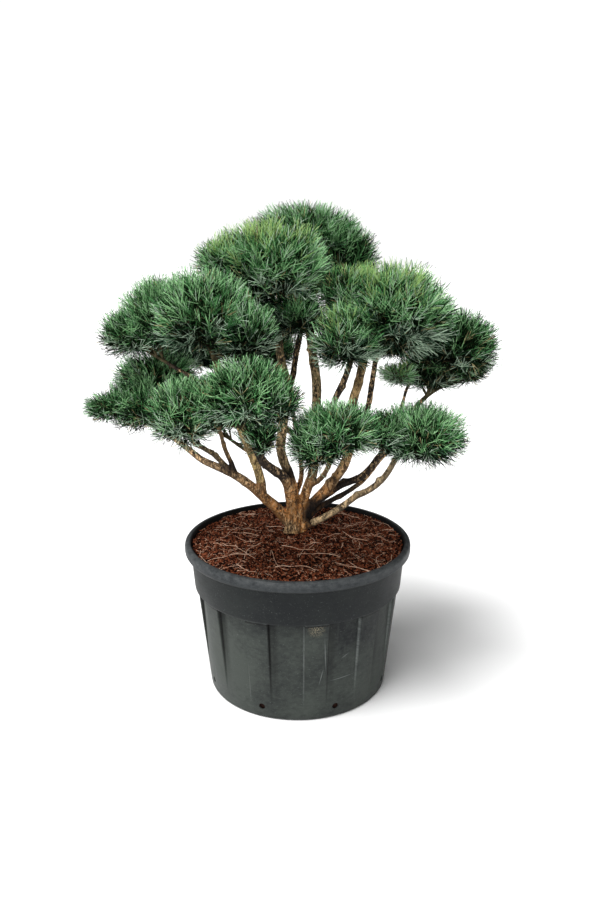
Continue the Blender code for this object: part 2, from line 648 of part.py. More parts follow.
def build_pot(collection, cutters, plastic):
    rings = [ring(*one) for one in inner_rings(0.0)]
    rings += [ring(RIM_INNER_RADIUS, RIM_HEIGHT - 0.003)]
    rings += [ring(*one) for one in LIP + COLLAR]
    for height in (*BODY_STEPS, FLUTE_FOOT):
        rings.append(ring(body_radius(height), height, flute_depth(height)))
    rings += [ring(body_radius(BASE_ROUNDING), BASE_ROUNDING)]
    rings += [ring(BASE_RADIUS - BASE_ROUNDING, 0.0)]
    pot = new_object("pot", *lathe(rings, (0, 0, FLOOR), (0, 0, 0)), collection)
    pot.data.materials.append(plastic)
    verts, faces = [], []
    for hole in range(HOLES):
        angle = HOLE_PHASE + 2 * math.pi * hole / HOLES
        out = np.array([math.sin(angle), -math.cos(angle), 0.0])
        centre = np.array([0.0, 0.0, HOLE_HEIGHT])
        points = np.array([centre + out * (BASE_RADIUS - 0.03), centre + out * (BASE_RADIUS + 0.02)])
        part, sides = tube(points, np.array([out, out]), [HOLE_RADIUS, HOLE_RADIUS], 8)
        faces += [tuple(len(verts) + corner for corner in side) for side in sides]
        verts += part
    cutter = new_object("hole_cutters", verts, faces, cutters)
    cutter.hide_render = True
    cutter.display_type = "WIRE"
    cut = pot.modifiers.new("holes", "BOOLEAN")
    cut.operation = "DIFFERENCE"
    cut.solver = "EXACT"
    cut.object = cutter


def build_soil(collection, mulch):
    rng = random.Random(SEED)
    rings = [ring(*one) for one in inner_rings(GAP)]
    rings[0] = ring(body_radius(FLOOR) - WALL - GAP, FLOOR + GAP)
    rings.append(ring(COLLAR[0][0] - WALL - 0.002, SOIL_EDGE))
    radius = (COLLAR[0][0] + SOIL_FLAT_RADIUS) / 2
    height = (SOIL_EDGE + SOIL_MIDDLE) / 2
    rings.append([(x, y, height + rng.uniform(-SOIL_LUMPS, SOIL_LUMPS)) for x, y, _ in ring(radius, height)])
    rings.append(ring(SOIL_FLAT_RADIUS, SOIL_MIDDLE - GAP))
    shape = lathe(rings, (0, 0, FLOOR + GAP), (0, 0, SOIL_MIDDLE - GAP))
    soil = new_object("soil", *shape, collection)
    soil.data.materials.append(mulch)


def main():
    clear_scene()
    tree = new_collection("watereri_scots_pine")
    cutters = new_collection("cutters", hidden=True)
    plastic = new_material("pot_plastic", (0.035, 0.040, 0.040), 0.55)
    mulch = new_material("bark_mulch", (0.090, 0.032, 0.018), 0.95)
    bark = new_material("pine_bark", (0.160, 0.085, 0.040), 0.90)
    green = new_material("pine_needles", (0.045, 0.120, 0.050), 0.70)
    build_pot(tree, cutters, plastic)
    build_soil(tree, mulch)
    grown = grow_limbs()
    build_wood(grown, tree, bark)
    build_foliage(grown, tree, green)


main()
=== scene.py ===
"""Dresses the frame of a cloud-pruned Scots pine that stands in a fluted nursery pot.

Metres, +Z up. The pot's axis is the Z axis, its underside is at z = 0 and its front faces -Y.
"""

import json
import logging
import math
from dataclasses import dataclass, field
from enum import Enum

import bmesh
import bpy
import numpy as np
from mathutils import Matrix, Vector, kdtree, noise

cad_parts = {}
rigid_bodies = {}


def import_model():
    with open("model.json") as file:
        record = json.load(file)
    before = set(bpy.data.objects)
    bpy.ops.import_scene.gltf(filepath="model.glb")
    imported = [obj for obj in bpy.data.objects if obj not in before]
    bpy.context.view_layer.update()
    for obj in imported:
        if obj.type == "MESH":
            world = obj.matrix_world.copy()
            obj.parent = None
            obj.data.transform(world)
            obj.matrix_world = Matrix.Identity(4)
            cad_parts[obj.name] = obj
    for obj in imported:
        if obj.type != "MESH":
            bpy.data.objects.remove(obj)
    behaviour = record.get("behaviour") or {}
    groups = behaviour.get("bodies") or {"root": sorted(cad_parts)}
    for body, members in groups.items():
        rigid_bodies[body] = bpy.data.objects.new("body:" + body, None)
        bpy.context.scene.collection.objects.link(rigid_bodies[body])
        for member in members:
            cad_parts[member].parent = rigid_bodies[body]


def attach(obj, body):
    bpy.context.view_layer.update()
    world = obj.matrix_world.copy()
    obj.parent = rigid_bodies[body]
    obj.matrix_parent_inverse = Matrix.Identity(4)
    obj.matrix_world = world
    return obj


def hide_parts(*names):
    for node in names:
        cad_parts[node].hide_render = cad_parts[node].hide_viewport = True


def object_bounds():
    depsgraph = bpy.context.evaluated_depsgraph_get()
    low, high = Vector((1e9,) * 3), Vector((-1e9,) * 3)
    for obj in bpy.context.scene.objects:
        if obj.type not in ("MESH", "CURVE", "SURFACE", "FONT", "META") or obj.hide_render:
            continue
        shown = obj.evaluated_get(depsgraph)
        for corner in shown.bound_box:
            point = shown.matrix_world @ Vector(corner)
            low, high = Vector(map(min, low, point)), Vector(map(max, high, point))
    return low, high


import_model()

CAD_BOX = [[float(value) for value in corner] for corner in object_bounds()]

LOG = logging.getLogger("scots_pine")
SEED = 41
GOLDEN = math.pi * (3 - math.sqrt(5))

Colour = tuple[float, float, float]
Point = tuple[float, float, float]
Lobe = tuple[float, float, float, float, float, float]
Arrays = tuple[np.ndarray, np.ndarray]


class Slot(Enum):
    """The record's material slots."""

    PLASTIC = "pot_plastic"
    MULCH = "bark_mulch"
    BARK = "pine_bark"
    NEEDLES = "pine_needles"


class Tone(Enum):
    """How the bark of a limb looks away from the foot: low down, high up, and the heights between; DARK is the bark's
    colour with painted shade, for boughs that lie in shade.
    """

    ORANGE = ((1.000, 0.450, 0.140), (0.480, 0.310, 0.160), 0.64, 0.88)
    GOLD = ((1.000, 0.700, 0.270), (0.960, 0.740, 0.330), 0.72, 1.10)
    TAN = ((0.500, 0.280, 0.115), (0.660, 0.430, 0.190), 0.80, 1.10)
    BEIGE = ((0.680, 0.500, 0.285), (0.620, 0.500, 0.290), 0.72, 1.05)
    OLIVE = ((0.320, 0.200, 0.095), (0.320, 0.255, 0.125), 0.72, 1.05)
    # Bark with painted shade, for boughs that lie behind or under others.
    DARK = ((0.060, 0.036, 0.024), (0.075, 0.056, 0.036), 0.72, 1.05)


class Tint(Enum):
    """The greens of the needles, copies of one green with painted light and shade: lit ones first down to DARK, then
    those of the sunny tops and undersides, then the dead ones; SILVER also serves as a painted glint.
    """

    PALE = (0.330, 0.610, 0.290)
    LIGHT = (0.096, 0.290, 0.100)
    MIDDLE = (0.040, 0.108, 0.037)
    DEEP = (0.006, 0.022, 0.006)
    DARK = (0.002, 0.007, 0.002)
    YELLOW = (0.390, 0.590, 0.210)
    SILVER = (0.440, 0.580, 0.430)
    BLUISH = (0.044, 0.102, 0.057)
    OLD = (0.420, 0.350, 0.180)


# Helpers for vectors, meshes and pieces

def unit(vectors: np.ndarray) -> np.ndarray:
    """Vectors of length 1, along the last axis."""
    return vectors / np.linalg.norm(vectors, axis=-1, keepdims=True)


def mesh_object(name: str, points: np.ndarray, faces: np.ndarray, smooth: bool = False) -> bpy.types.Object:
    """A mesh object from arrays.

    Args:
        name: the piece's name.
        points: its vertices, (n, 3).
        faces: its faces, (m, 3), as indices into the points.
        smooth: whether its faces are shaded smooth.

    Returns:
        The object, linked to the scene.
    """
    mesh = bpy.data.meshes.new(name)
    mesh.vertices.add(len(points))
    mesh.vertices.foreach_set("co", np.ascontiguousarray(points, np.float32).ravel())
    mesh.loops.add(faces.size)
    mesh.loops.foreach_set("vertex_index", np.ascontiguousarray(faces, np.int32).ravel())
    mesh.polygons.add(len(faces))
    mesh.polygons.foreach_set("loop_start", np.arange(0, faces.size, faces.shape[1], dtype=np.int32))
    mesh.polygons.foreach_set("use_smooth", np.full(len(faces), smooth))
    mesh.update(calc_edges=True)
    obj = bpy.data.objects.new(name, mesh)
    bpy.context.scene.collection.objects.link(obj)
    return obj


def join_arrays(shapes: list[Arrays]) -> Arrays:
    """One pair of arrays from several (points, faces)."""
    points, faces, first = [], [], 0
    for shape_points, shape_faces in shapes:
        points.append(shape_points)
        faces.append(shape_faces + first)
        first += len(shape_points)
    return np.concatenate(points), np.concatenate(faces)


def object_from_bmesh(name: str, shell: bmesh.types.BMesh) -> bpy.types.Object:
    """A mesh object from a bmesh, which is freed."""
    mesh = bpy.data.meshes.new(name)
    shell.to_mesh(mesh)
    shell.free()
    obj = bpy.data.objects.new(name, mesh)
    bpy.context.scene.collection.objects.link(obj)
    return obj


def apply_modifiers(obj: bpy.types.Object) -> None:
    """Bakes an object's modifiers into its mesh."""
    graph = bpy.context.evaluated_depsgraph_get()
    mesh = bpy.data.meshes.new_from_object(obj.evaluated_get(graph))
    obj.modifiers.clear()
    obj.data = mesh


def finish_piece(obj: bpy.types.Object, material: bpy.types.Material, slot: Slot, *nodes: str) -> None:
    """Gives a piece its material, lets it ride on the body and stand for its CAD nodes."""
    obj.data.materials.clear()
    obj.data.materials.append(material)
    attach(obj, "root")
    if nodes:
        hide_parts(*nodes)
    obj.data.calc_loop_triangles()
    LOG.info("%s: %d triangles", obj.name, len(obj.data.loop_triangles))


def tubes(paths: np.ndarray, radii: np.ndarray, sides: int) -> Arrays:
    """Closed tapering tubes, all with the same number of points and sides.

    Args:
        paths: the tubes' centrelines, (tubes, points, 3).
        radii: the radius at each point, (tubes, points).
        sides: how many sides each tube has.

    Returns:
        The points and triangles of all the tubes.
    """
    count, steps = radii.shape
    ways = unit(np.gradient(paths, axis=1) + 1e-9)
    side = unit(np.cross(ways[:, 0], np.array([0.31, 0.95, 0.11])))
    angles = 2 * math.pi * np.arange(sides) / sides
    rings = np.empty((count, steps, sides, 3))
    for step in range(steps):
        way = ways[:, step]
        side = unit(side - way * (side * way).sum(1, keepdims=True))
        other = np.cross(way, side)
        around = side[:, None] * np.cos(angles)[None, :, None] + other[:, None] * np.sin(angles)[None, :, None]
        rings[:, step] = paths[:, step, None] + radii[:, step, None, None] * around
    faces = []
    for step in range(steps - 1):
        for corner in range(sides):
            low, next_low = step * sides + corner, step * sides + (corner + 1) % sides
            faces += [(low, next_low, next_low + sides), (low, next_low + sides, low + sides)]
    last = (steps - 1) * sides
    for corner in range(1, sides - 1):
        faces += [(0, corner + 1, corner), (last, last + corner, last + corner + 1)]
    block = np.array(faces)[None] + (np.arange(count) * steps * sides)[:, None, None]
    return rings.reshape(-1, 3), block.reshape(-1, 3)


def curves(starts: np.ndarray, leads: np.ndarray, ends: np.ndarray, steps: int) -> np.ndarray:
    """Bent lines from starts through the pull of leads to ends, (lines, steps, 3)."""
    t = np.linspace(0, 1, steps)[None, :, None]
    return (1 - t) ** 2 * starts[:, None] + 2 * t * (1 - t) * leads[:, None] + t ** 2 * ends[:, None]


# Materials

class Recipe:
    """A node material that is built step by step round one Principled shader."""

    def __init__(self, name: str, roughness: float, specular: float = 0.5) -> None:
        """Starts the material.

        Args:
            name: its name.
            roughness: the shader's roughness where no node drives it.
            specular: the shader's specular level.
        """
        self.material = bpy.data.materials.new(name)
        self.material.use_nodes = True
        self.tree = self.material.node_tree
        self.shader = self.tree.nodes["Principled BSDF"]
        self.shader.inputs["Roughness"].default_value = roughness
        self.shader.inputs["Specular IOR Level"].default_value = specular
        self.place = self.tree.nodes.new("ShaderNodeTexCoord").outputs["Object"]

    def node(self, kind: str, **settings: object) -> bpy.types.Node:
        """A new node with its properties set."""
        made = self.tree.nodes.new(kind)
        for key, value in settings.items():
            setattr(made, key, value)
        return made

    def feed(self, socket: bpy.types.NodeSocket, value: object) -> None:
        """Links a socket to an output, or sets its value."""
        if isinstance(value, bpy.types.NodeSocket):
            self.tree.links.new(value, socket)
        elif isinstance(value, tuple) and len(value) == 3 and socket.type == "RGBA":
            socket.default_value = (*value, 1.0)
        else:
            socket.default_value = value

    def stretched(self, scale: Point, shift: Point = (0.0, 0.0, 0.0)) -> bpy.types.NodeSocket:
        """Object coordinates stretched by a factor on each axis."""
        made = self.node("ShaderNodeMapping")
        self.feed(made.inputs["Vector"], self.place)
        self.feed(made.inputs["Scale"], scale)
        self.feed(made.inputs["Location"], shift)
        return made.outputs["Vector"]

    def noise(self, scale: float, detail: float = 4.0, vector: bpy.types.NodeSocket | None = None,
              rough: float = 0.55) -> bpy.types.NodeSocket:
        """A noise pattern's value."""
        made = self.node("ShaderNodeTexNoise")
        self.feed(made.inputs["Vector"], vector or self.place)
        self.feed(made.inputs["Scale"], scale)
        self.feed(made.inputs["Detail"], detail)
        self.feed(made.inputs["Roughness"], rough)
        return made.outputs["Fac"]

    def span(self, value: object, low: float, high: float, to_low: float = 0.0, to_high: float = 1.0) -> bpy.types.NodeSocket:
        """A value moved from one span to another, and held inside it."""
        made = self.node("ShaderNodeMapRange")
        for socket, given in zip(made.inputs, (value, low, high, to_low, to_high)):
            self.feed(socket, given)
        return made.outputs["Result"]

    def sums(self, operation: str, first: object, second: object) -> bpy.types.NodeSocket:
        """A sum of two values, such as ADD or MULTIPLY."""
        made = self.node("ShaderNodeMath", operation=operation)
        self.feed(made.inputs[0], first)
        self.feed(made.inputs[1], second)
        return made.outputs[0]

    def mix(self, factor: object, first: object, second: object) -> bpy.types.NodeSocket:
        """A mix of two colours."""
        made = self.node("ShaderNodeMix", data_type="RGBA")
        self.feed(made.inputs[0], factor)
        self.feed(made.inputs[6], first)
        self.feed(made.inputs[7], second)
        return made.outputs[2]

    def height(self) -> bpy.types.NodeSocket:
        """The height above the pot's underside."""
        made = self.node("ShaderNodeSeparateXYZ")
        self.feed(made.inputs[0], self.place)
        return made.outputs["Z"]

    def underside(self, start: float, end: float) -> bpy.types.NodeSocket:
        """0 where a face looks up as far as `start`, rising to 1 where it looks down as far as `end`."""
        made = self.node("ShaderNodeSeparateXYZ")
        self.feed(made.inputs[0], self.node("ShaderNodeNewGeometry").outputs["Normal"])
        return self.span(made.outputs["Z"], start, end)

    def near(self, centre: Point, start: float, end: float) -> bpy.types.NodeSocket:
        """1 up to a distance from a point, falling to 0 at a further one."""
        made = self.node("ShaderNodeVectorMath", operation="DISTANCE")
        self.feed(made.inputs[0], self.place)
        self.feed(made.inputs[1], centre)
        return self.span(made.outputs["Value"], start, end, 1.0, 0.0)

    def bump(self, height: bpy.types.NodeSocket, strength: float, distance: float) -> None:
        """Sets the shader's bump."""
        made = self.node("ShaderNodeBump")
        self.feed(made.inputs["Strength"], strength)
        self.feed(made.inputs["Distance"], distance)
        self.feed(made.inputs["Height"], height)
        self.feed(self.shader.inputs["Normal"], made.outputs["Normal"])

    def done(self, colour: object, roughness: bpy.types.NodeSocket | None = None) -> bpy.types.Material:
        """Sets the colour, and the roughness where a node drives it, and returns the material."""
        self.feed(self.shader.inputs["Base Color"], colour)
        if roughness is not None:
            self.feed(self.shader.inputs["Roughness"], roughness)
        return self.material


@dataclass(frozen=True)
class BarkFinish:
    """Flaking pine bark: orange round the foot and in the limb's own tone further up, with painted shade on faces that
    look down and in spots behind and between the limbs.
    """

    tone: Tone
    foot: Point = (-0.016, 0.068, 0.600)
    foot_reach: tuple[float, float] = (0.10, 0.25)
    soil_line: Point = (-0.042, 0.020, 0.606)
    # Painted shade: spots behind and between the limbs, each as a centre and the distances where its shade starts to
    # fade and where it ends.
    painted_shades: tuple[tuple[Point, float, float], ...] = (
        ((0.088, 0.105, 0.656), 0.070, 0.100), ((0.193, 0.120, 0.736), 0.045, 0.090),
        ((-0.027, 0.030, 0.838), 0.020, 0.055), ((0.062, 0.038, 0.655), 0.034, 0.054),
        ((-0.250, -0.020, 0.892), 0.034, 0.064), ((-0.105, 0.060, 0.742), 0.020, 0.055),
        ((-0.066, 0.040, 0.730), 0.008, 0.032))
    flake: Colour = (1.000, 0.670, 0.360)
    crack_and_shade: Colour = (0.012, 0.007, 0.005)

    def material(self) -> bpy.types.Material:
        """The bark's material."""
        low, high, start, end = self.tone.value
        recipe = Recipe(f"bark_{self.tone.name.lower()}", 0.85, 0.3)
        along = recipe.stretched((1.0, 1.0, 0.5))
        clouds = recipe.noise(15.0, 3.0, along)
        patches = recipe.noise(58.0, 5.0, along, 0.62)
        flecks = recipe.noise(105.0, 3.0, recipe.stretched((1.0, 1.0, 0.6), (3.0, 5.0, 7.0)), 0.6)
        grain = recipe.noise(300.0, 3.0, along, 0.65)
        furrows = recipe.noise(44.0, 4.0, recipe.stretched((1.0, 1.0, 0.24), (2.0, 7.0, 1.0)), 0.6)
        lifted = recipe.sums("ADD", recipe.height(), recipe.sums("MULTIPLY", clouds, 0.25))
        body = recipe.mix(recipe.span(lifted, start + 0.12, end + 0.12), low, high)
        reach = (0.05, 0.08) if self.tone is Tone.BEIGE else self.foot_reach
        body = recipe.mix(recipe.near(self.foot, *reach), body, Tone.ORANGE.value[0])
        body = recipe.mix(recipe.sums("MULTIPLY", recipe.near(self.soil_line, 0.024, 0.052), 0.75), body, Tone.BEIGE.value[0])
        dark = recipe.mix(0.80, body, self.crack_and_shade)
        pale = recipe.mix(0.72, body, self.flake)
        body = recipe.mix(recipe.span(patches, 0.442, 0.492, 1.0, 0.0), body, dark)
        body = recipe.mix(recipe.span(flecks, 0.52, 0.57, 0.0, 1.0), body, pale)
        body = recipe.mix(recipe.span(clouds, 0.42, 0.56, 0.50, 0.0), body, dark)
        body = recipe.mix(recipe.span(grain, 0.34, 0.46, 0.65, 0.0), body, self.crack_and_shade)
        furrow = recipe.span(recipe.sums("ABSOLUTE", recipe.sums("SUBTRACT", furrows, 0.5), 0.0), 0.006, 0.034, 0.75, 0.0)
        body = recipe.mix(furrow, body, self.crack_and_shade)
        # Painted shade: faces that look down go darker.
        body = recipe.mix(recipe.sums("MULTIPLY", recipe.underside(-0.05, -0.60), 0.95), body, dark)
        # Painted shade: round each spot the bark goes unevenly to the colour of the cracks; the beige limb is left out.
        uneven = recipe.span(patches, 0.40, 0.62, 1.0, 0.92)
        for centre, start, end in () if self.tone is Tone.BEIGE else self.painted_shades:
            body = recipe.mix(recipe.sums("MULTIPLY", recipe.near(centre, start, end), uneven), body, self.crack_and_shade)
        relief = recipe.sums("ADD", patches, recipe.sums("MULTIPLY", grain, 0.6))
        relief = recipe.sums("ADD", relief, recipe.sums("MULTIPLY", flecks, 0.7))
        relief = recipe.sums("SUBTRACT", relief, furrow)
        recipe.bump(relief, 1.0, 0.0070)
        return recipe.done(body)


@dataclass(frozen=True)
class NeedleFinish:
    """One plain green of the needles."""

    tint: Tint

    def material(self) -> bpy.types.Material:
        """The needles' material."""
        shine = 0.12 if max(self.tint.value) > 0.1 else 0.03
        return Recipe(f"needles_{self.tint.name.lower()}", 0.50, shine).done(self.tint.value)


@dataclass(frozen=True)
class PlainFinish:
    """A colour that wanders between two tones over small distances, with a fine grain."""

    name: str
    first: Colour
    second: Colour
    scale: float
    shine: float = 0.06

    def material(self) -> bpy.types.Material:
        """The material."""
        recipe = Recipe(self.name, 0.9, self.shine)
        wander = recipe.noise(self.scale, 3.0)
        recipe.bump(recipe.noise(self.scale * 5, 3.0), 0.4, 0.001)
        return recipe.done(recipe.mix(recipe.span(wander, 0.38, 0.62), self.first, self.second))


@dataclass(frozen=True)
class PlasticFinish:
    """Old black nursery plastic: dusted and scratched, streaked down its sides, with a painted lit side at the front
    left, painted shade in the flutes, under the lip and collar and inside the rim, and painted highlights along the
    flutes' and collar's edges, broken up by scuffs, and on the lip's top.
    """

    body: Colour = (0.006, 0.0075, 0.0085)
    dust_and_light: Colour = (0.044, 0.051, 0.045)
    wear_and_highlight: Colour = (0.150, 0.165, 0.160)
    lip_dark: Colour = (0.017, 0.020, 0.022)
    lip_pale: Colour = (0.092, 0.098, 0.100)
    black: Colour = (0.001, 0.001, 0.001)
    dirt: Colour = (0.240, 0.210, 0.140)
    flutes: int = 11
    flute_phase: float = math.radians(-6.0)
    flute_half: float = math.radians(9.5)
    collar_foot: float = 0.402
    lip_foot: float = 0.548
    lip_top: float = 0.5835
    patch: Point = (0.068, -0.380, 0.386)
    patch_reach: float = 0.036
    # Painted light: where the lit side of the pot is palest.
    painted_lit_side: Point = (-0.340, -0.150, 0.200)
    rim_inner_radius: float = 0.411
    strokes: tuple[tuple[Point, float, float], ...] = (
        ((0.173, -0.330, 0.252), 30.0, 0.020), ((0.161, -0.321, 0.163), 4.0, 0.056),
        ((0.099, -0.364, 0.278), -88.0, 0.080), ((0.085, -0.356, 0.186), -103.0, 0.040))

    def flute_line(self, recipe: Recipe, side: float, reach: float) -> bpy.types.NodeSocket:
        """1 on one edge of every flute, falling to 0 at an angle from it, and 0 above the body."""
        parts = recipe.node("ShaderNodeSeparateXYZ")
        recipe.feed(parts.inputs[0], recipe.place)
        angle = recipe.sums("ARCTAN2", parts.outputs["X"], recipe.sums("MULTIPLY", parts.outputs["Y"], -1.0))
        pitch = 2 * math.pi / self.flutes
        turned = recipe.sums("SUBTRACT", angle, self.flute_phase + side * self.flute_half - pitch / 2)
        off = recipe.sums("SUBTRACT", recipe.sums("FLOORED_MODULO", turned, pitch), pitch / 2)
        line = recipe.span(recipe.sums("ABSOLUTE", off, 0.0), 0.0, reach, 1.0, 0.0)
        low = recipe.span(recipe.height(), 0.05, 0.25)
        return recipe.sums("MULTIPLY", line, recipe.sums("MULTIPLY", low, recipe.sums("LESS_THAN", recipe.height(), self.collar_foot)))

    def radius(self, recipe: Recipe) -> bpy.types.NodeSocket:
        """The distance from the pot's axis."""
        made = recipe.node("ShaderNodeVectorMath", operation="LENGTH")
        recipe.feed(made.inputs[0], recipe.stretched((1.0, 1.0, 0.0)))
        return made.outputs["Value"]

    def band(self, recipe: Recipe, low: float, high: float, strength: float, soft: float = 0.002) -> bpy.types.NodeSocket:
        """A strength between two heights, and 0 outside them."""
        rising = recipe.span(recipe.height(), low, low + soft, 0.0, strength)
        return recipe.sums("MULTIPLY", rising, recipe.span(recipe.height(), high - soft, high, 1.0, 0.0))

    def stroke(self, recipe: Recipe, centre: Point, slope: float, half: float) -> bpy.types.NodeSocket:
        """A thin scratch on the pot's front, at a slope in degrees from level."""
        turned = recipe.node("ShaderNodeMapping", vector_type="TEXTURE")
        recipe.feed(turned.inputs["Vector"], recipe.place)
        recipe.feed(turned.inputs["Location"], centre)
        recipe.feed(turned.inputs["Rotation"], (0.0, -math.radians(slope), 0.0))
        recipe.feed(turned.inputs["Scale"], (half, 0.060, 0.0020))
        off = recipe.node("ShaderNodeVectorMath", operation="LENGTH")
        recipe.feed(off.inputs[0], turned.outputs[0])
        return recipe.span(off.outputs["Value"], 0.3, 1.0, 0.60, 0.0)

    def material(self) -> bpy.types.Material:
        """The plastic's material."""
        recipe = Recipe("pot_plastic_worn", 0.5, 0.14)
        clouds = recipe.noise(5.0, 3.0)
        mottles = recipe.noise(70.0, 6.0, recipe.stretched((0.6, 0.6, 1.0)), 0.72)
        scuffs = recipe.noise(70.0, 5.0, recipe.stretched((0.35, 0.35, 1.6)), 0.7)
        drips = recipe.noise(46.0, 4.0, recipe.stretched((1.0, 1.0, 0.12)))
        specks = recipe.noise(240.0, 3.0)
        dust_and_lit_side = recipe.sums("ADD", clouds, recipe.sums("MULTIPLY", mottles, 0.7))
        dust_and_lit_side = recipe.sums("ADD", dust_and_lit_side, recipe.span(recipe.height(), 0.08, 0.38, 0.14, 0.0))
        # Painted light: the front left of the pot goes paler, towards the same colour as the dusting.
        dust_and_lit_side = recipe.sums("ADD", dust_and_lit_side, recipe.sums("MULTIPLY", recipe.near(self.painted_lit_side, 0.15, 0.42), 0.20))
        colour = recipe.mix(recipe.span(dust_and_lit_side, 0.66, 1.16), self.body, self.dust_and_light)
        colour = recipe.mix(recipe.span(drips, 0.58, 0.74, 0.0, 0.35), colour, self.dust_and_light)
        # Painted shadow: a soft wide shade and a sharp dark line along one edge of every flute.
        flute_soft_shadow = recipe.sums("MULTIPLY", self.flute_line(recipe, -0.75, 0.055), 0.45)
        colour = recipe.mix(flute_soft_shadow, colour, self.black)
        colour = recipe.mix(recipe.sums("MULTIPLY", self.flute_line(recipe, -1.0, 0.014), 0.90), colour, self.black)
        # Painted highlight: a pale line along the other edge of every flute, broken up by scuffs.
        flute_highlight = recipe.sums("MULTIPLY", self.flute_line(recipe, 1.0, 0.010), recipe.span(scuffs, 0.35, 0.60, 0.2, 0.7))
        colour = recipe.mix(flute_highlight, colour, self.wear_and_highlight)
        colour = recipe.mix(self.band(recipe, self.collar_foot, self.lip_foot, 0.80), colour, self.body)
        lip = recipe.mix(recipe.span(mottles, 0.32, 0.70), self.lip_dark, self.lip_pale)
        # Painted light: the lip goes darker towards its foot and keeps its paler mottles on top.
        lip = recipe.mix(recipe.span(recipe.height(), self.lip_foot + 0.004, self.lip_top, 0.75, 0.15), lip, self.lip_dark)
        # Painted shade: the inner face of the rim goes very dark.
        inner = recipe.span(self.radius(recipe), self.rim_inner_radius + 0.001, self.rim_inner_radius + 0.007, 0.90, 0.0)
        lip = recipe.mix(inner, lip, self.black)
        colour = recipe.mix(self.band(recipe, self.lip_foot, 0.700, 1.0), colour, lip)
        # Painted shadow: dark bands just under the lip and just under the collar.
        colour = recipe.mix(self.band(recipe, self.lip_foot - 0.009, self.lip_foot + 0.001, 0.85), colour, self.black)
        colour = recipe.mix(self.band(recipe, self.collar_foot - 0.009, self.collar_foot, 0.60), colour, self.black)
        # Painted highlight: a thin light line along the collar's foot, broken up by scuffs.
        edge = recipe.sums("MULTIPLY", self.band(recipe, self.collar_foot, self.collar_foot + 0.005, 0.75),
                           recipe.span(scuffs, 0.36, 0.58))
        colour = recipe.mix(edge, colour, self.wear_and_highlight)
        colour = recipe.mix(recipe.span(specks, 0.64, 0.72, 0.0, 0.35), colour, self.wear_and_highlight)
        for centre, slope, half in self.strokes:
            colour = recipe.mix(self.stroke(recipe, centre, slope, half), colour, self.wear_and_highlight)
        crumbs = recipe.span(recipe.noise(260.0, 4.0), 0.48, 0.57, 0.0, 0.65)
        dirty = recipe.sums("MULTIPLY", recipe.near(self.patch, 0.2 * self.patch_reach, self.patch_reach), crumbs)
        dirty = recipe.sums("MULTIPLY", dirty, recipe.sums("LESS_THAN", recipe.height(), self.collar_foot - 0.006))
        colour = recipe.mix(dirty, colour, self.dirt)
        rough = recipe.span(recipe.sums("ADD", clouds, recipe.sums("MULTIPLY", scuffs, 0.4)), 0.45, 0.95, 0.38, 0.62)
        recipe.bump(recipe.sums("ADD", specks, recipe.sums("MULTIPLY", scuffs, 1.5)), 0.15, 0.001)
        return recipe.done(colour, rough)


# Space that limbs and masses share

@dataclass(frozen=True)
class Limb:
    """A bough: the limb that it grows from, its radius at both ends, its bark and its route."""

    parent: str
    start_radius: float
    end_radius: float
    tone: Tone
    route: tuple[Point, ...]


@dataclass(frozen=True)
class Mass:
    """A mass of foliage: its bough, how much painted light or shade its needles get, and its lobes as centre and radii.
    """

    bough: str
    light: float
    lobes: tuple[Lobe, ...]


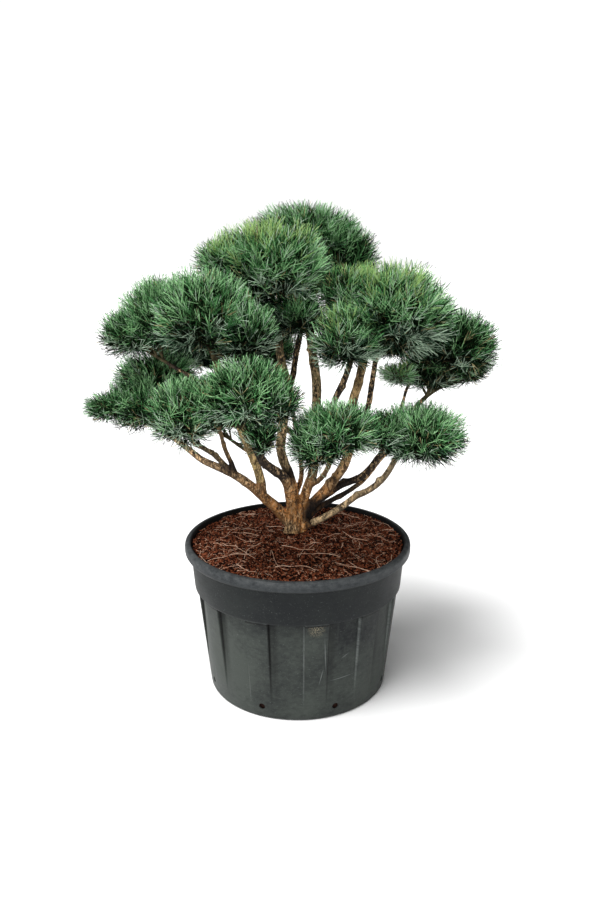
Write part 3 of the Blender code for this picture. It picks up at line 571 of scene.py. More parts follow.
LIMBS = {
    "bough_left_low": Limb("trunk", 0.0266, 0.0090, Tone.ORANGE, (
        (-0.017, 0.066, 0.600), (-0.052, 0.058, 0.647), (-0.092, 0.035, 0.701), (-0.135, 0.010, 0.748),
        (-0.177, -0.005, 0.793), (-0.230, -0.025, 0.839), (-0.277, -0.035, 0.868), (-0.317, -0.040, 0.887),
        (-0.358, -0.036, 0.907), (-0.403, -0.025, 0.940), (-0.489, -0.010, 1.006), (-0.568, 0.030, 1.058))),
    "bough_left_high": Limb("bough_left_low", 0.0185, 0.0135, Tone.GOLD, (
        (-0.135, 0.010, 0.748), (-0.139, -0.006, 0.809), (-0.152, -0.030, 0.872), (-0.169, -0.050, 0.928),
        (-0.189, -0.065, 0.986), (-0.217, -0.085, 1.070), (-0.242, -0.110, 1.160), (-0.269, -0.140, 1.248),
        (-0.285, -0.170, 1.313), (-0.290, -0.200, 1.376))),
    "bough_left_outer": Limb("bough_left_high", 0.0095, 0.0065, Tone.DARK, (
        (-0.217, -0.085, 1.070), (-0.263, -0.080, 1.132), (-0.334, -0.075, 1.193), (-0.405, -0.070, 1.239),
        (-0.478, -0.050, 1.279), (-0.535, -0.020, 1.315))),
    "bough_left_front": Limb("bough_left_low", 0.0110, 0.0085, Tone.OLIVE, (
        (-0.230, -0.025, 0.839), (-0.265, -0.045, 0.880), (-0.288, -0.070, 0.915), (-0.306, -0.100, 0.946),
        (-0.326, -0.140, 0.972), (-0.354, -0.200, 1.010), (-0.364, -0.250, 1.038), (-0.376, -0.300, 1.083))),
    "bough_left_inner": Limb("bough_left_low", 0.0095, 0.0070, Tone.TAN, (
        (-0.230, -0.025, 0.839), (-0.243, -0.035, 0.881), (-0.259, -0.060, 0.931), (-0.268, -0.100, 0.980),
        (-0.273, -0.150, 1.034), (-0.282, -0.220, 1.102), (-0.291, -0.260, 1.139))),
    "bough_front": Limb("trunk", 0.0262, 0.0105, Tone.DARK, (
        (-0.013, 0.066, 0.605), (-0.020, 0.055, 0.675), (-0.028, 0.035, 0.735), (-0.038, 0.010, 0.794),
        (-0.059, -0.020, 0.839), (-0.087, -0.060, 0.871), (-0.122, -0.110, 0.917), (-0.138, -0.170, 0.966),
        (-0.150, -0.250, 1.027), (-0.152, -0.330, 1.100))),
    "bough_centre": Limb("trunk", 0.0220, 0.0145, Tone.OLIVE, (
        (-0.005, 0.075, 0.610), (-0.009, 0.075, 0.668), (-0.014, 0.066, 0.725), (-0.022, 0.048, 0.780),
        (-0.033, 0.034, 0.829), (-0.052, 0.022, 0.880), (-0.064, 0.015, 0.933), (-0.060, 0.010, 0.982),
        (-0.048, 0.000, 1.088), (-0.033, -0.005, 1.172), (-0.051, -0.005, 1.239), (-0.065, -0.010, 1.306),
        (-0.068, -0.010, 1.368), (-0.075, -0.010, 1.429))),
    "bough_crown_dark": Limb("bough_centre", 0.0120, 0.0105, Tone.DARK, (
        (-0.033, -0.005, 1.172), (-0.018, 0.020, 1.208), (-0.011, 0.045, 1.253), (0.002, 0.070, 1.327),
        (0.017, 0.085, 1.381), (0.022, 0.090, 1.440))),
    "bough_tall": Limb("trunk", 0.0208, 0.0160, Tone.OLIVE, (
        (0.007, 0.076, 0.618), (0.015, 0.078, 0.675), (0.036, 0.066, 0.758), (0.056, 0.056, 0.818),
        (0.065, 0.055, 0.899), (0.070, 0.062, 0.996), (0.072, 0.080, 1.109), (0.070, 0.095, 1.191),
        (0.059, 0.115, 1.264), (0.049, 0.150, 1.339), (0.042, 0.190, 1.406), (0.050, 0.240, 1.478),
        (0.066, 0.290, 1.535), (0.066, 0.330, 1.609))),
    "bough_back_thin": Limb("bough_centre", 0.0110, 0.0070, Tone.DARK, (
        (-0.014, 0.066, 0.725), (0.005, 0.085, 0.764), (0.015, 0.100, 0.809), (0.011, 0.120, 0.860),
        (-0.001, 0.150, 0.933), (-0.017, 0.190, 1.025), (-0.037, 0.240, 1.107), (-0.073, 0.290, 1.179),
        (-0.114, 0.320, 1.231))),
    "bough_front_centre": Limb("bough_tall", 0.0115, 0.0085, Tone.TAN, (
        (0.036, 0.066, 0.758), (0.057, 0.045, 0.785), (0.076, 0.010, 0.808), (0.093, -0.050, 0.845),
        (0.106, -0.120, 0.891), (0.114, -0.200, 0.941), (0.118, -0.270, 0.990))),
    "bough_right_high": Limb("trunk", 0.0220, 0.0158, Tone.TAN, (
        (0.007, 0.075, 0.614), (0.031, 0.082, 0.662), (0.078, 0.080, 0.716), (0.113, 0.075, 0.755),
        (0.143, 0.066, 0.797), (0.173, 0.056, 0.848), (0.191, 0.050, 0.896), (0.205, 0.045, 0.961),
        (0.207, 0.030, 1.043), (0.207, 0.018, 1.118), (0.222, 0.005, 1.177), (0.233, -0.008, 1.236),
        (0.244, -0.020, 1.293), (0.260, -0.030, 1.345))),
    "bough_right_inner": Limb("bough_tall", 0.0135, 0.0110, Tone.DARK, (
        (0.056, 0.056, 0.818), (0.072, 0.045, 0.889), (0.098, 0.030, 0.984), (0.123, 0.015, 1.069),
        (0.137, 0.005, 1.121), (0.162, -0.010, 1.180), (0.182, -0.030, 1.240), (0.196, -0.050, 1.294),
        (0.210, -0.070, 1.347))),
    "bough_right_back": Limb("bough_right_high", 0.0125, 0.0105, Tone.DARK, (
        (0.143, 0.066, 0.797), (0.183, 0.100, 0.858), (0.223, 0.140, 0.936), (0.260, 0.190, 1.013),
        (0.284, 0.225, 1.066), (0.295, 0.260, 1.129), (0.306, 0.290, 1.183), (0.319, 0.330, 1.242),
        (0.342, 0.380, 1.296))),
    "bough_right_outer": Limb("trunk", 0.0192, 0.0090, Tone.DARK, (
        (0.015, 0.080, 0.608), (0.051, 0.092, 0.673), (0.106, 0.098, 0.721), (0.165, 0.110, 0.758),
        (0.213, 0.120, 0.774), (0.253, 0.130, 0.789), (0.288, 0.138, 0.820), (0.315, 0.143, 0.859),
        (0.358, 0.150, 0.913), (0.408, 0.160, 0.992), (0.454, 0.165, 1.055), (0.501, 0.168, 1.102),
        (0.560, 0.170, 1.157), (0.600, 0.170, 1.204))),
    "bough_right_fork": Limb("bough_right_outer", 0.0080, 0.0065, Tone.DARK, (
        (0.358, 0.150, 0.913), (0.376, 0.155, 0.981), (0.394, 0.150, 1.042), (0.407, 0.140, 1.084),
        (0.416, 0.125, 1.133), (0.424, 0.110, 1.161), (0.435, 0.090, 1.199))),
    "bough_right_low": Limb("trunk", 0.0150, 0.0105, Tone.BEIGE, (
        (0.015, 0.064, 0.601), (0.058, 0.056, 0.621), (0.097, 0.050, 0.644), (0.132, 0.045, 0.666),
        (0.180, 0.030, 0.705), (0.226, 0.010, 0.748), (0.271, -0.020, 0.782), (0.305, -0.050, 0.821),
        (0.328, -0.085, 0.865), (0.346, -0.120, 0.914), (0.358, -0.155, 0.961), (0.369, -0.180, 1.001))),
    "bough_back_left": Limb("bough_back_thin", 0.0095, 0.0070, Tone.OLIVE, (
        (-0.001, 0.150, 0.933), (-0.045, 0.200, 0.970), (-0.140, 0.300, 1.041), (-0.285, 0.400, 1.126),
        (-0.391, 0.440, 1.203), (-0.424, 0.450, 1.265))),
    "bough_back_low_left": Limb("trunk", 0.0130, 0.0080, Tone.TAN, (
        (-0.009, 0.080, 0.616), (-0.013, 0.120, 0.682), (-0.037, 0.170, 0.737), (-0.083, 0.240, 0.770),
        (-0.135, 0.300, 0.791), (-0.187, 0.350, 0.816), (-0.239, 0.380, 0.842))),
    "bough_back_low_right": Limb("trunk", 0.0130, 0.0080, Tone.TAN, (
        (0.027, 0.085, 0.614), (0.075, 0.110, 0.660), (0.135, 0.135, 0.689), (0.184, 0.155, 0.708),
        (0.229, 0.180, 0.729), (0.271, 0.210, 0.754), (0.309, 0.240, 0.791), (0.348, 0.270, 0.830),
        (0.395, 0.300, 0.860))),
}

MASSES = {
    "foliage_crown_back": Mass("bough_tall", -0.12, (
        (0.023, 0.360, 1.689, 0.225, 0.200, 0.141), (0.173, 0.340, 1.609, 0.146, 0.180, 0.143))),
    "foliage_crown_front": Mass("bough_centre", 0.08, (
        (-0.095, -0.010, 1.594, 0.216, 0.210, 0.174), (-0.253, -0.020, 1.626, 0.109, 0.130, 0.084),
        (-0.006, -0.020, 1.448, 0.129, 0.140, 0.116))),
    "foliage_left_upper_outer": Mass("bough_left_outer", 0.00, (
        (-0.594, 0.000, 1.370, 0.123, 0.140, 0.098), (-0.490, 0.000, 1.424, 0.144, 0.150, 0.152))),
    "foliage_left_upper_inner": Mass("bough_left_high", 0.00, (
        (-0.310, -0.220, 1.452, 0.167, 0.160, 0.161), (-0.176, -0.230, 1.393, 0.111, 0.120, 0.117))),
    "foliage_left_lower": Mass("bough_left_low", -0.06, (
        (-0.684, 0.020, 1.099, 0.108, 0.140, 0.058), (-0.575, 0.040, 1.094, 0.139, 0.160, 0.108),
        (-0.536, 0.100, 1.194, 0.159, 0.130, 0.104))),
    "foliage_front_left": Mass("bough_front", -0.06, (
        (-0.370, -0.400, 1.158, 0.110, 0.150, 0.121), (-0.267, -0.410, 1.203, 0.099, 0.140, 0.081),
        (-0.160, -0.420, 1.228, 0.140, 0.170, 0.120), (-0.072, -0.410, 1.209, 0.093, 0.130, 0.079),
        (-0.113, -0.370, 1.086, 0.053, 0.090, 0.078))),
    "foliage_front_centre": Mass("bough_front_centre", 0.05, (
        (0.140, -0.360, 1.098, 0.132, 0.150, 0.098), (0.065, -0.360, 1.060, 0.099, 0.140, 0.110))),
    "foliage_right_lower": Mass("bough_right_low", -0.04, (
        (0.429, -0.220, 1.045, 0.160, 0.170, 0.113), (0.286, -0.250, 1.063, 0.082, 0.120, 0.079))),
    "foliage_right_upper": Mass("bough_right_high", 0.06, (
        (0.330, -0.050, 1.447, 0.227, 0.220, 0.174), (0.164, -0.140, 1.369, 0.121, 0.120, 0.129),
        (0.167, -0.040, 1.520, 0.113, 0.130, 0.096), (0.351, 0.020, 1.349, 0.121, 0.130, 0.088))),
    "foliage_right_outer": Mass("bough_right_outer", -0.26, (
        (0.601, 0.160, 1.303, 0.165, 0.190, 0.137), (0.514, 0.190, 1.201, 0.121, 0.120, 0.100),
        (0.664, 0.180, 1.207, 0.078, 0.090, 0.068))),
    "foliage_right_fork": Mass("bough_right_fork", 0.90, ((0.368, 0.000, 1.225, 0.077, 0.080, 0.051),)),
    "foliage_centre_back": Mass("bough_back_thin", -0.35, ((-0.140, 0.360, 1.262, 0.147, 0.140, 0.112),)),
    "foliage_back_left": Mass("bough_back_left", 0.00, (
        (-0.459, 0.460, 1.376, 0.224, 0.190, 0.137), (-0.433, 0.420, 1.248, 0.149, 0.140, 0.096))),
    "foliage_back_right": Mass("bough_right_back", 0.00, ((0.401, 0.500, 1.396, 0.210, 0.190, 0.148),)),
    "foliage_back_low_left": Mass("bough_back_low_left", -0.10, (
        (-0.387, 0.420, 1.002, 0.194, 0.180, 0.131), (-0.166, 0.300, 0.907, 0.078, 0.100, 0.094))),
    "foliage_back_low_right": Mass("bough_back_low_right", -0.05, (
        (0.493, 0.360, 0.887, 0.151, 0.150, 0.105),)),
}


@dataclass(frozen=True)
class Space:
    """The rules on room that the wood and the foliage share."""

    boxiness: float = 2.2
    entry: float = 1.02
    clearance: float = 0.005
    underside: float = 0.92

    def norm_in(self, lobes: tuple[Lobe, ...], points: np.ndarray) -> np.ndarray:
        """How far out each point is in the nearest lobe: 1 on its surface, less inside."""
        out = np.full(len(points), np.inf)
        for lobe in lobes:
            offsets = np.abs((points - lobe[:3]) / lobe[3:])
            out = np.minimum(out, (offsets ** self.boxiness).sum(axis=1) ** (1 / self.boxiness))
        return out

    def on_lobe(self, ways: np.ndarray) -> np.ndarray:
        """Each direction's point on the slightly boxy ball of radius 1."""
        return ways / ((np.abs(ways) ** self.boxiness).sum(axis=1) ** (1 / self.boxiness))[:, None]


SPACE = Space()


class Grown:
    """A limb laid out along its smoothed route, with the length of it that its parent carries."""

    def __init__(self, limb: Limb, spacing: float = 0.01) -> None:
        """Lays the limb out, up to where it enters a mass.

        Args:
            limb: its sizes.
            spacing: the distance between the points of its path.
        """
        self.limb = limb
        route = self.smooth(np.array(limb.route), spacing)
        out = np.min([SPACE.norm_in(mass.lobes, route) for mass in MASSES.values()], axis=0)
        inside = np.nonzero(out < SPACE.entry)[0]
        self.path = route[:inside[0]] if len(inside) else route
        self.ways = unit(np.gradient(self.path, axis=0))
        lengths = np.linalg.norm(np.diff(self.path, axis=0), axis=1)
        self.along = np.concatenate([[0.0], np.cumsum(lengths)])
        share = self.along / lengths.sum()
        self.radii = limb.start_radius + (limb.end_radius - limb.start_radius) * share ** 0.8
        self.split = 2

    @staticmethod
    def smooth(route: np.ndarray, spacing: float) -> np.ndarray:
        """Points about `spacing` apart on a smooth curve through the route."""
        knots = np.vstack([2 * route[0] - route[1], route, 2 * route[-1] - route[-2]])
        points = []
        for index in range(1, len(knots) - 2):
            before, start, end, after = knots[index - 1:index + 3]
            steps = max(2, round(np.linalg.norm(end - start) / spacing))
            for t in np.arange(steps) / steps:
                points.append(0.5 * (2 * start + (end - before) * t
                                     + (2 * before - 5 * start + 4 * end - after) * t ** 2
                                     + (3 * start - before - 3 * end + after) * t ** 3))
        points.append(knots[-2])
        return np.array(points)

    def clears(self, others: list[tuple[np.ndarray, np.ndarray]]) -> None:
        """Sets the split where the limb first stands clear of every other one, up to its tip."""
        gap = np.full(len(self.path), np.inf)
        for path, radii in others:
            apart = np.linalg.norm(self.path[:, None] - path[None], axis=2) - radii[None]
            gap = np.minimum(gap, apart.min(axis=1) - self.radii)
        touching = np.nonzero(gap < SPACE.clearance)[0]
        self.split = int(touching[-1]) + 1 if len(touching) else 2

    def stretch(self, first: int, last: int) -> Arrays:
        """The tube from one point of the path to another."""
        last = min(last, len(self.path) - 1)
        return tubes(self.path[None, first:last + 1], self.radii[None, first:last + 1], 14)


# Wood

@dataclass
class Wood:
    """The trunk and its boughs, each with the relief of its bark."""

    foot: tuple[float, float] = (-0.016, 0.068)
    stump: tuple[tuple[float, float], ...] = (
        (0.580, 0.046), (0.585, 0.042), (0.600, 0.038), (0.622, 0.035), (0.650, 0.033), (0.676, 0.026))
    stump_lean: tuple[float, float] = (0.010, 0.006)
    root_lobes: int = 5
    root_flare: float = 0.24
    stump_sides: int = 40
    voxel: float = 0.0026
    relief: float = 0.0011
    swelling: float = 0.0016
    whorl_pitch: float = 0.118
    stub_pitch: float = 0.060
    knots: tuple[Point, ...] = (
        (-0.302, -0.075, 0.945), (0.120, 0.070, 0.785), (0.170, 0.000, 1.178), (0.305, 0.235, 1.133),
        (0.181, 0.115, 0.775), (0.219, 0.003, 0.765), (0.298, -0.057, 0.835))
    knot_reach: float = 0.014
    knot_height: float = 0.0085
    overlap: int = 1
    grown: dict[str, Grown] = field(default_factory=dict)

    def grow(self) -> None:
        """Lays out every limb and finds where each leaves its parent."""
        self.grown = {name: Grown(limb) for name, limb in LIMBS.items()}
        heights = np.linspace(0.585, 0.676, 12)
        foot = np.array([(*self.foot, height) for height in heights])
        foot_radii = np.interp(heights, *zip(*self.stump))
        for name, limb in self.grown.items():
            others = [(foot, foot_radii)] if limb.limb.parent == "trunk" else []
            for other_name, other in self.grown.items():
                if other_name != name and other.limb.parent != name:
                    others.append((other.path, other.radii))
            limb.clears(others)

    def stump_shape(self) -> Arrays:
        """The trunk's foot: a leaning cone with root flares."""
        low, high = self.stump[0][0], self.stump[-1][0]
        angles = 2 * math.pi * np.arange(self.stump_sides) / self.stump_sides
        rings = []
        for height in np.linspace(low, high, 14):
            radius = np.interp(height, *zip(*self.stump))
            rise = (height - low) / (high - low)
            lobes = np.cos(self.root_lobes * angles) + 0.5 * np.cos(3 * angles + 1.0)
            reach = radius * (1 + self.root_flare * (1 - rise) ** 3 * lobes)
            rings.append(np.stack([self.foot[0] + self.stump_lean[0] * rise + reach * np.cos(angles),
                                   self.foot[1] + self.stump_lean[1] * rise + reach * np.sin(angles),
                                   np.full(len(angles), height)], 1))
        sides, faces = self.stump_sides, []
        for ring in range(len(rings) - 1):
            for step in range(sides):
                low_one, low_two = ring * sides + step, ring * sides + (step + 1) % sides
                faces += [(low_one, low_two, low_two + sides), (low_one, low_two + sides, low_one + sides)]
        last = (len(rings) - 1) * sides
        for step in range(1, sides - 1):
            faces += [(0, step + 1, step), (last, last + step, last + step + 1)]
        return np.concatenate(rings), np.array(faces)

    def stubs(self, limb: Grown, first: int, last: int, rng: np.random.Generator) -> list[Arrays]:
        """Short pruned stubs on a stretch of a limb."""
        shapes = []
        length = limb.along[min(last, len(limb.along) - 1)] - limb.along[first]
        for _ in range(int(length / self.stub_pitch)):
            index = int(rng.uniform(first + 2, last - 1))
            way = limb.ways[index]
            out = unit(np.cross(way, rng.normal(size=3)) + 0.35 * way)
            radius = limb.radii[index] * rng.uniform(0.20, 0.36)
            tip = limb.path[index] + out * (limb.radii[index] + rng.uniform(0.001, 0.007))
            line = np.linspace(limb.path[index], tip, 5)[None]
            shapes.append(tubes(line, radius * np.array([[1.9, 1.6, 1.25, 1.0, 0.9]]), 8))
        return shapes

    def fused(self, name: str, shapes: list[Arrays], limbs: list[Grown]) -> bpy.types.Object:
        """One skin over overlapping shapes, with the bark's relief on it.

        Args:
            name: the piece's name.
            shapes: closed shapes that overlap.
            limbs: the limbs whose lines the relief follows.

        Returns:
            The piece.
        """
        obj = mesh_object(name, *join_arrays(shapes))
        skin = obj.modifiers.new("skin", "REMESH")
        skin.mode = "VOXEL"
        skin.voxel_size = self.voxel
        apply_modifiers(obj)
        shell = bmesh.new()
        shell.from_mesh(obj.data)
        for _ in range(3):
            bmesh.ops.smooth_vert(shell, verts=shell.verts, factor=0.5, use_axis_x=True, use_axis_y=True, use_axis_z=True)
        shell.normal_update()
        self.carve(shell, limbs)
        bmesh.ops.recalc_face_normals(shell, faces=shell.faces)
        shell.to_mesh(obj.data)
        shell.free()
        obj.data.polygons.foreach_set("use_smooth", np.ones(len(obj.data.polygons), bool))
        return obj

    def carve(self, shell: bmesh.types.BMesh, limbs: list[Grown]) -> None:
        """Moves the skin in and out by the bark's plates, swellings and whorls."""
        lines = kdtree.KDTree(sum(len(limb.path) for limb in limbs))
        places = []
        for limb in limbs:
            for point, along in zip(limb.path, limb.along):
                lines.insert(point, len(places))
                places.append(along)
        lines.balance()
        tilt = Vector((0.21, 0.13, 0.37))
        for vert in shell.verts:
            centre, index, _ = lines.find(vert.co)
            along = places[index]
            at = (vert.co - centre) + tilt * (along * 1.05)
            lumps = noise.noise(at * 38.0)
            plates = 0.8 * noise.noise(at * 95.0) + 0.5 * noise.noise(at * 210.0)
            whorl = math.exp(-(((along % self.whorl_pitch) - 0.5 * self.whorl_pitch) / 0.010) ** 2)
            vert.co += vert.normal * (self.relief * (plates + lumps) + self.swelling * whorl * (0.6 + lumps)
                                      + 0.0012 * noise.noise(at * 12.0))
            for knot in self.knots:
                away = (vert.co - Vector(knot)).length / self.knot_reach
                if away < 3:
                    vert.co += vert.normal * self.knot_height * math.exp(-away * away)

    def build(self) -> None:
        """Builds the trunk and every bough."""
        finishes = {tone: BarkFinish(tone).material() for tone in Tone}
        rng = np.random.default_rng(SEED)
        shapes = [self.stump_shape()]
        first_limbs = [limb for limb in self.grown.values() if limb.limb.parent == "trunk"]
        for limb in first_limbs:
            shapes.append(limb.stretch(0, limb.split + self.overlap))
            shapes += self.stubs(limb, limb.split // 2, limb.split, rng)
        trunk = self.fused("trunk_bark", shapes, first_limbs)
        finish_piece(trunk, finishes[Tone.ORANGE], Slot.BARK, "trunk")
        for name, limb in self.grown.items():
            end = len(limb.path) - 1
            shapes = [limb.stretch(limb.split - self.overlap, end)] + self.stubs(limb, limb.split, end, rng)
            forks = [other for other in self.grown.values() if other.limb.parent == name]
            for fork in forks:
                shapes.append(fork.stretch(0, fork.split + self.overlap))
            piece = self.fused(f"{name}_bark", shapes, [limb, *forks])
            finish_piece(piece, finishes[limb.limb.tone], Slot.BARK, name)


# Foliage

@dataclass(frozen=True)
class Layer:
    """A layer of shoots in a lobe: how dense it is, how far out and how low it reaches, and its needles."""

    per_area: float
    shares: tuple[float, float]
    lengths: tuple[float, float]
    lowest: float
    needles: int
    shade: float


@dataclass
class Shoots:
    """Needle-bearing shoots: tip, way, length, light, how high on its lobe each sits, and the lobe itself."""

    tips: np.ndarray
    ways: np.ndarray
    lengths: np.ndarray
    light: np.ndarray
    zone: np.ndarray
    lobe: np.ndarray


@dataclass
class Needles:
    """Needles as lines with a tint each, given as its place in the list of tints."""

    starts: np.ndarray
    ends: np.ndarray
    tints: np.ndarray


@dataclass
class Foliage:
    """One mass: stem, twigs and shoots that grow on from the bough's tip, and the needles on them."""

    name: str
    mass: Mass
    bough: Grown
    limbs: list[Grown]
    seed: int
    layers: tuple[Layer, ...] = (
        Layer(840.0, (0.69, 0.90), (0.045, 0.075), -0.90, 26, 0.0),
        Layer(330.0, (0.44, 0.64), (0.050, 0.080), -0.80, 22, -1.10))
    focus_drop: float = 0.45
    needle_lengths: tuple[float, float] = (0.042, 0.064)
    needle_foot: float = 0.0013
    needle_tip: float = 0.0008
    needle_angles: tuple[float, float] = (52.0, 17.0)
    needle_scatter: float = 9.0
    spray_size: int = 2
    neighbour_play: float = 0.12
    reach_limit: float = 1.16
    place_light: float = 0.85
    contrast: float = 0.50
    shoot_play: float = 0.20
    levels: tuple[float, ...] = (1.08, 0.80, 0.54, 0.30)
    top_zone: float = 0.60
    sunny: float = 0.055
    low_levels: tuple[float, ...] = (0.86, 0.52)
    low_zone: float = -0.20
    old_share: float = 0.006
    old_share_low: float = 0.045
    first_twigs: int = 12
    second_twigs: int = 44
    twig_radius: float = 0.0050
    guest_reach: float = 1.10
    # Painted highlight: the share of pale sprays that turn silver as glints.
    painted_glint_share: float = 0.18

    def __post_init__(self) -> None:
        """Seeds the mass's own chance."""
        self.rng = np.random.default_rng(SEED + self.seed)
        self.others = [mass.lobes for key, mass in MASSES.items() if key != self.name]
        owned = [LIMBS[mass.bough] for mass in MASSES.values()]
        self.guests = [limb for limb in self.limbs if limb.limb not in owned
                       and SPACE.norm_in(self.mass.lobes, limb.path[-1:])[0] < self.guest_reach]

    def own_space(self, points: np.ndarray, room: float, play: float = 0.0) -> np.ndarray:
        """Whether each point is in this mass's space, and clear of every limb.

        Args:
            points: the points, (n, 3).
            room: how far from every limb they must be.
            play: how far they may reach into a neighbour's space, as a share of its size.

        Returns:
            True for each point that is free.
        """
        own = SPACE.norm_in(self.mass.lobes, points) - play
        free = np.ones(len(points), bool)
        for lobes in self.others:
            free &= SPACE.norm_in(lobes, points) > own
        low, high = points.min(axis=0) - 0.05, points.max(axis=0) + 0.05
        for limb in self.limbs:
            near = ((limb.path > low) & (limb.path < high)).all(axis=1)
            if not near.any():
                continue
            path, radii = limb.path[near], limb.radii[near]
            for start in range(0, len(points), 20000):
                part = points[start:start + 20000]
                apart = np.linalg.norm(part[:, None] - path[None], axis=2) - radii[None]
                free[start:start + 20000] &= apart.min(axis=1) > room
        return free

    @staticmethod
    def spread(count: int) -> np.ndarray:
        """Directions dealt evenly over a ball, from its top down."""
        steps = np.arange(count)
        high = 1 - 2 * (steps + 0.5) / count
        flat = np.sqrt(1 - high * high)
        return np.stack([flat * np.cos(steps * GOLDEN), flat * np.sin(steps * GOLDEN), high], 1)

    @staticmethod
    def patches(points: np.ndarray, scale: float) -> np.ndarray:
        """Smooth noise at each point."""
        return np.array([noise.noise(Vector(point) * scale) for point in points])

    def placed(self, lobe: np.ndarray, balls: np.ndarray, shares: np.ndarray) -> np.ndarray:
        """Points in a lobe, from directions and shares of the way out."""
        offsets = SPACE.on_lobe(balls) * lobe[3:] * shares[:, None]
        offsets[:, 2] *= np.where(balls[:, 2] < 0, SPACE.underside, 1.0)
        return lobe[:3] + offsets

    def grow_shoots(self, layer: Layer) -> Shoots:
        """Deals a layer's shoots over the lobes, fewer below."""
        found = []
        for index, sizes in enumerate(self.mass.lobes):
            lobe = np.array(sizes)
            across, deep, high = lobe[3:]
            area = 4 * (across * deep + deep * high + across * high)
            balls = self.spread(round(layer.per_area * area))
            balls = unit(balls + self.rng.normal(0, 0.05, balls.shape))
            chance = np.interp(balls[:, 2], (layer.lowest, -0.35), (0.50, 1.0))
            balls = balls[(balls[:, 2] > layer.lowest) & (self.rng.random(len(balls)) < chance)]
            lumps = self.patches(balls + lobe[:3], 3.6)
            shares = self.rng.uniform(*layer.shares, len(balls)) + 0.14 * lumps
            tips = self.placed(lobe, balls, shares)
            focus = lobe[:3] - (0.0, 0.0, self.focus_drop * high)
            ways = unit(unit(tips - focus) + self.rng.normal(0, 0.15, balls.shape))
            # Painted light: the light score is higher on the lobe's top and lower underneath and in the inner layer,
            # and it deals the lit and shaded tints.
            light = 0.50 + 0.38 * balls[:, 2] + self.mass.light + layer.shade + 0.6 * lumps
            zone = balls[:, 2] + self.rng.normal(0, 0.18, len(balls))
            others = [other for step, other in enumerate(self.mass.lobes) if step != index]
            outside = SPACE.norm_in(tuple(others), tips) > 0.66 if others else np.ones(len(tips), bool)
            keep = outside & self.own_space(tips, 0.012)
            found.append((tips[keep], ways[keep], light[keep], zone[keep], np.full(keep.sum(), index)))
        tips, ways, light, zone, lobe = (np.concatenate(part) for part in zip(*found))
        light = light + 0.26 * self.patches(tips, 9.0) + 0.30 * self.patches(tips, 28.0)
        light = light + self.rng.normal(0, self.shoot_play, len(tips))
        return Shoots(tips, ways, self.rng.uniform(*layer.lengths, len(tips)), light, zone, lobe)

    def build_twigs(self, layers: list[Shoots]) -> tuple[bpy.types.Object, bpy.types.Object]:
        """The stem that takes over from the bough with its forks, and a twig to every shoot."""
        tip, way, radius = self.bough.path[-1], self.bough.ways[-1], self.bough.radii[-1]
        shapes, ends_of = [], []
        for index, sizes in enumerate(self.mass.lobes):
            lobe = np.array(sizes)
            heart = lobe[:3] - (0.0, 0.0, 0.40 * lobe[5])
            reach = np.linalg.norm(heart - tip)
            stem = curves(tip[None] - way * 0.01, (tip + way * reach * 0.45)[None], heart[None], 10)
            shapes.append(tubes(stem, np.linspace(radius if index == 0 else radius * 0.75, 0.5 * radius, 10)[None], 9))
            first = self.spread(round(self.first_twigs * 1.6))
            first = first[first[:, 2] > -0.72]
            knots = self.placed(lobe, first, self.rng.uniform(0.36, 0.52, len(first)))
            starts = stem[0][self.rng.integers(3, 10, len(knots))]
            leads = (starts + knots) / 2 + self.rng.normal(0, 0.010, knots.shape) - (0, 0, 0.010)
            bent = curves(starts, leads, knots, 6)
            size = self.twig_radius * self.rng.uniform(0.8, 1.1, len(knots))
            shapes.append(tubes(bent, size[:, None] * np.linspace(1.0, 0.62, 6), 6))
            second = self.spread(round(self.second_twigs * 1.3))
            second = second[second[:, 2] > -0.85]
            ends = self.placed(lobe, second, self.rng.uniform(0.60, 0.72, len(second)))
            parent = np.linalg.norm(ends[:, None] - knots[None], axis=2).argmin(axis=1)
            leads = (knots[parent] * 0.55 + ends * 0.45) + self.rng.normal(0, 0.008, ends.shape)
            sizes = self.twig_radius * np.linspace(0.60, 0.38, 5)[None].repeat(len(ends), 0)
            shapes.append(tubes(curves(knots[parent], leads, ends, 5), sizes, 5))
            for shoots in layers:
                mine = shoots.lobe == index
                tips, ways, lengths = shoots.tips[mine], shoots.ways[mine], shoots.lengths[mine]
                feet = tips - ways * lengths[:, None]
                parent = np.linalg.norm(feet[:, None] - ends[None], axis=2).argmin(axis=1)
                sizes = 0.0017 * np.linspace(1.0, 0.45, 5)[None].repeat(len(tips), 0)
                ends_of.append(tubes(curves(ends[parent], feet, tips, 5), sizes, 3))
        hearts = np.array(self.mass.lobes)[:, :3] - (0.0, 0.0, 0.02)
        for guest in self.guests:
            tip, way, radius = guest.path[-1], guest.ways[-1], guest.radii[-1]
            heart = hearts[np.linalg.norm(hearts - tip, axis=1).argmin()]
            lead = tip + way * 0.4 * np.linalg.norm(heart - tip)
            stem = curves((tip - way * 0.01)[None], lead[None], heart[None], 10)
            shapes.append(tubes(stem, np.linspace(radius, 0.45 * radius, 10)[None], 9))
        twigs = mesh_object(f"{self.name}_twigs", *join_arrays(shapes), smooth=True)
        return twigs, mesh_object(f"{self.name}_shoots", *join_arrays(ends_of), smooth=True)

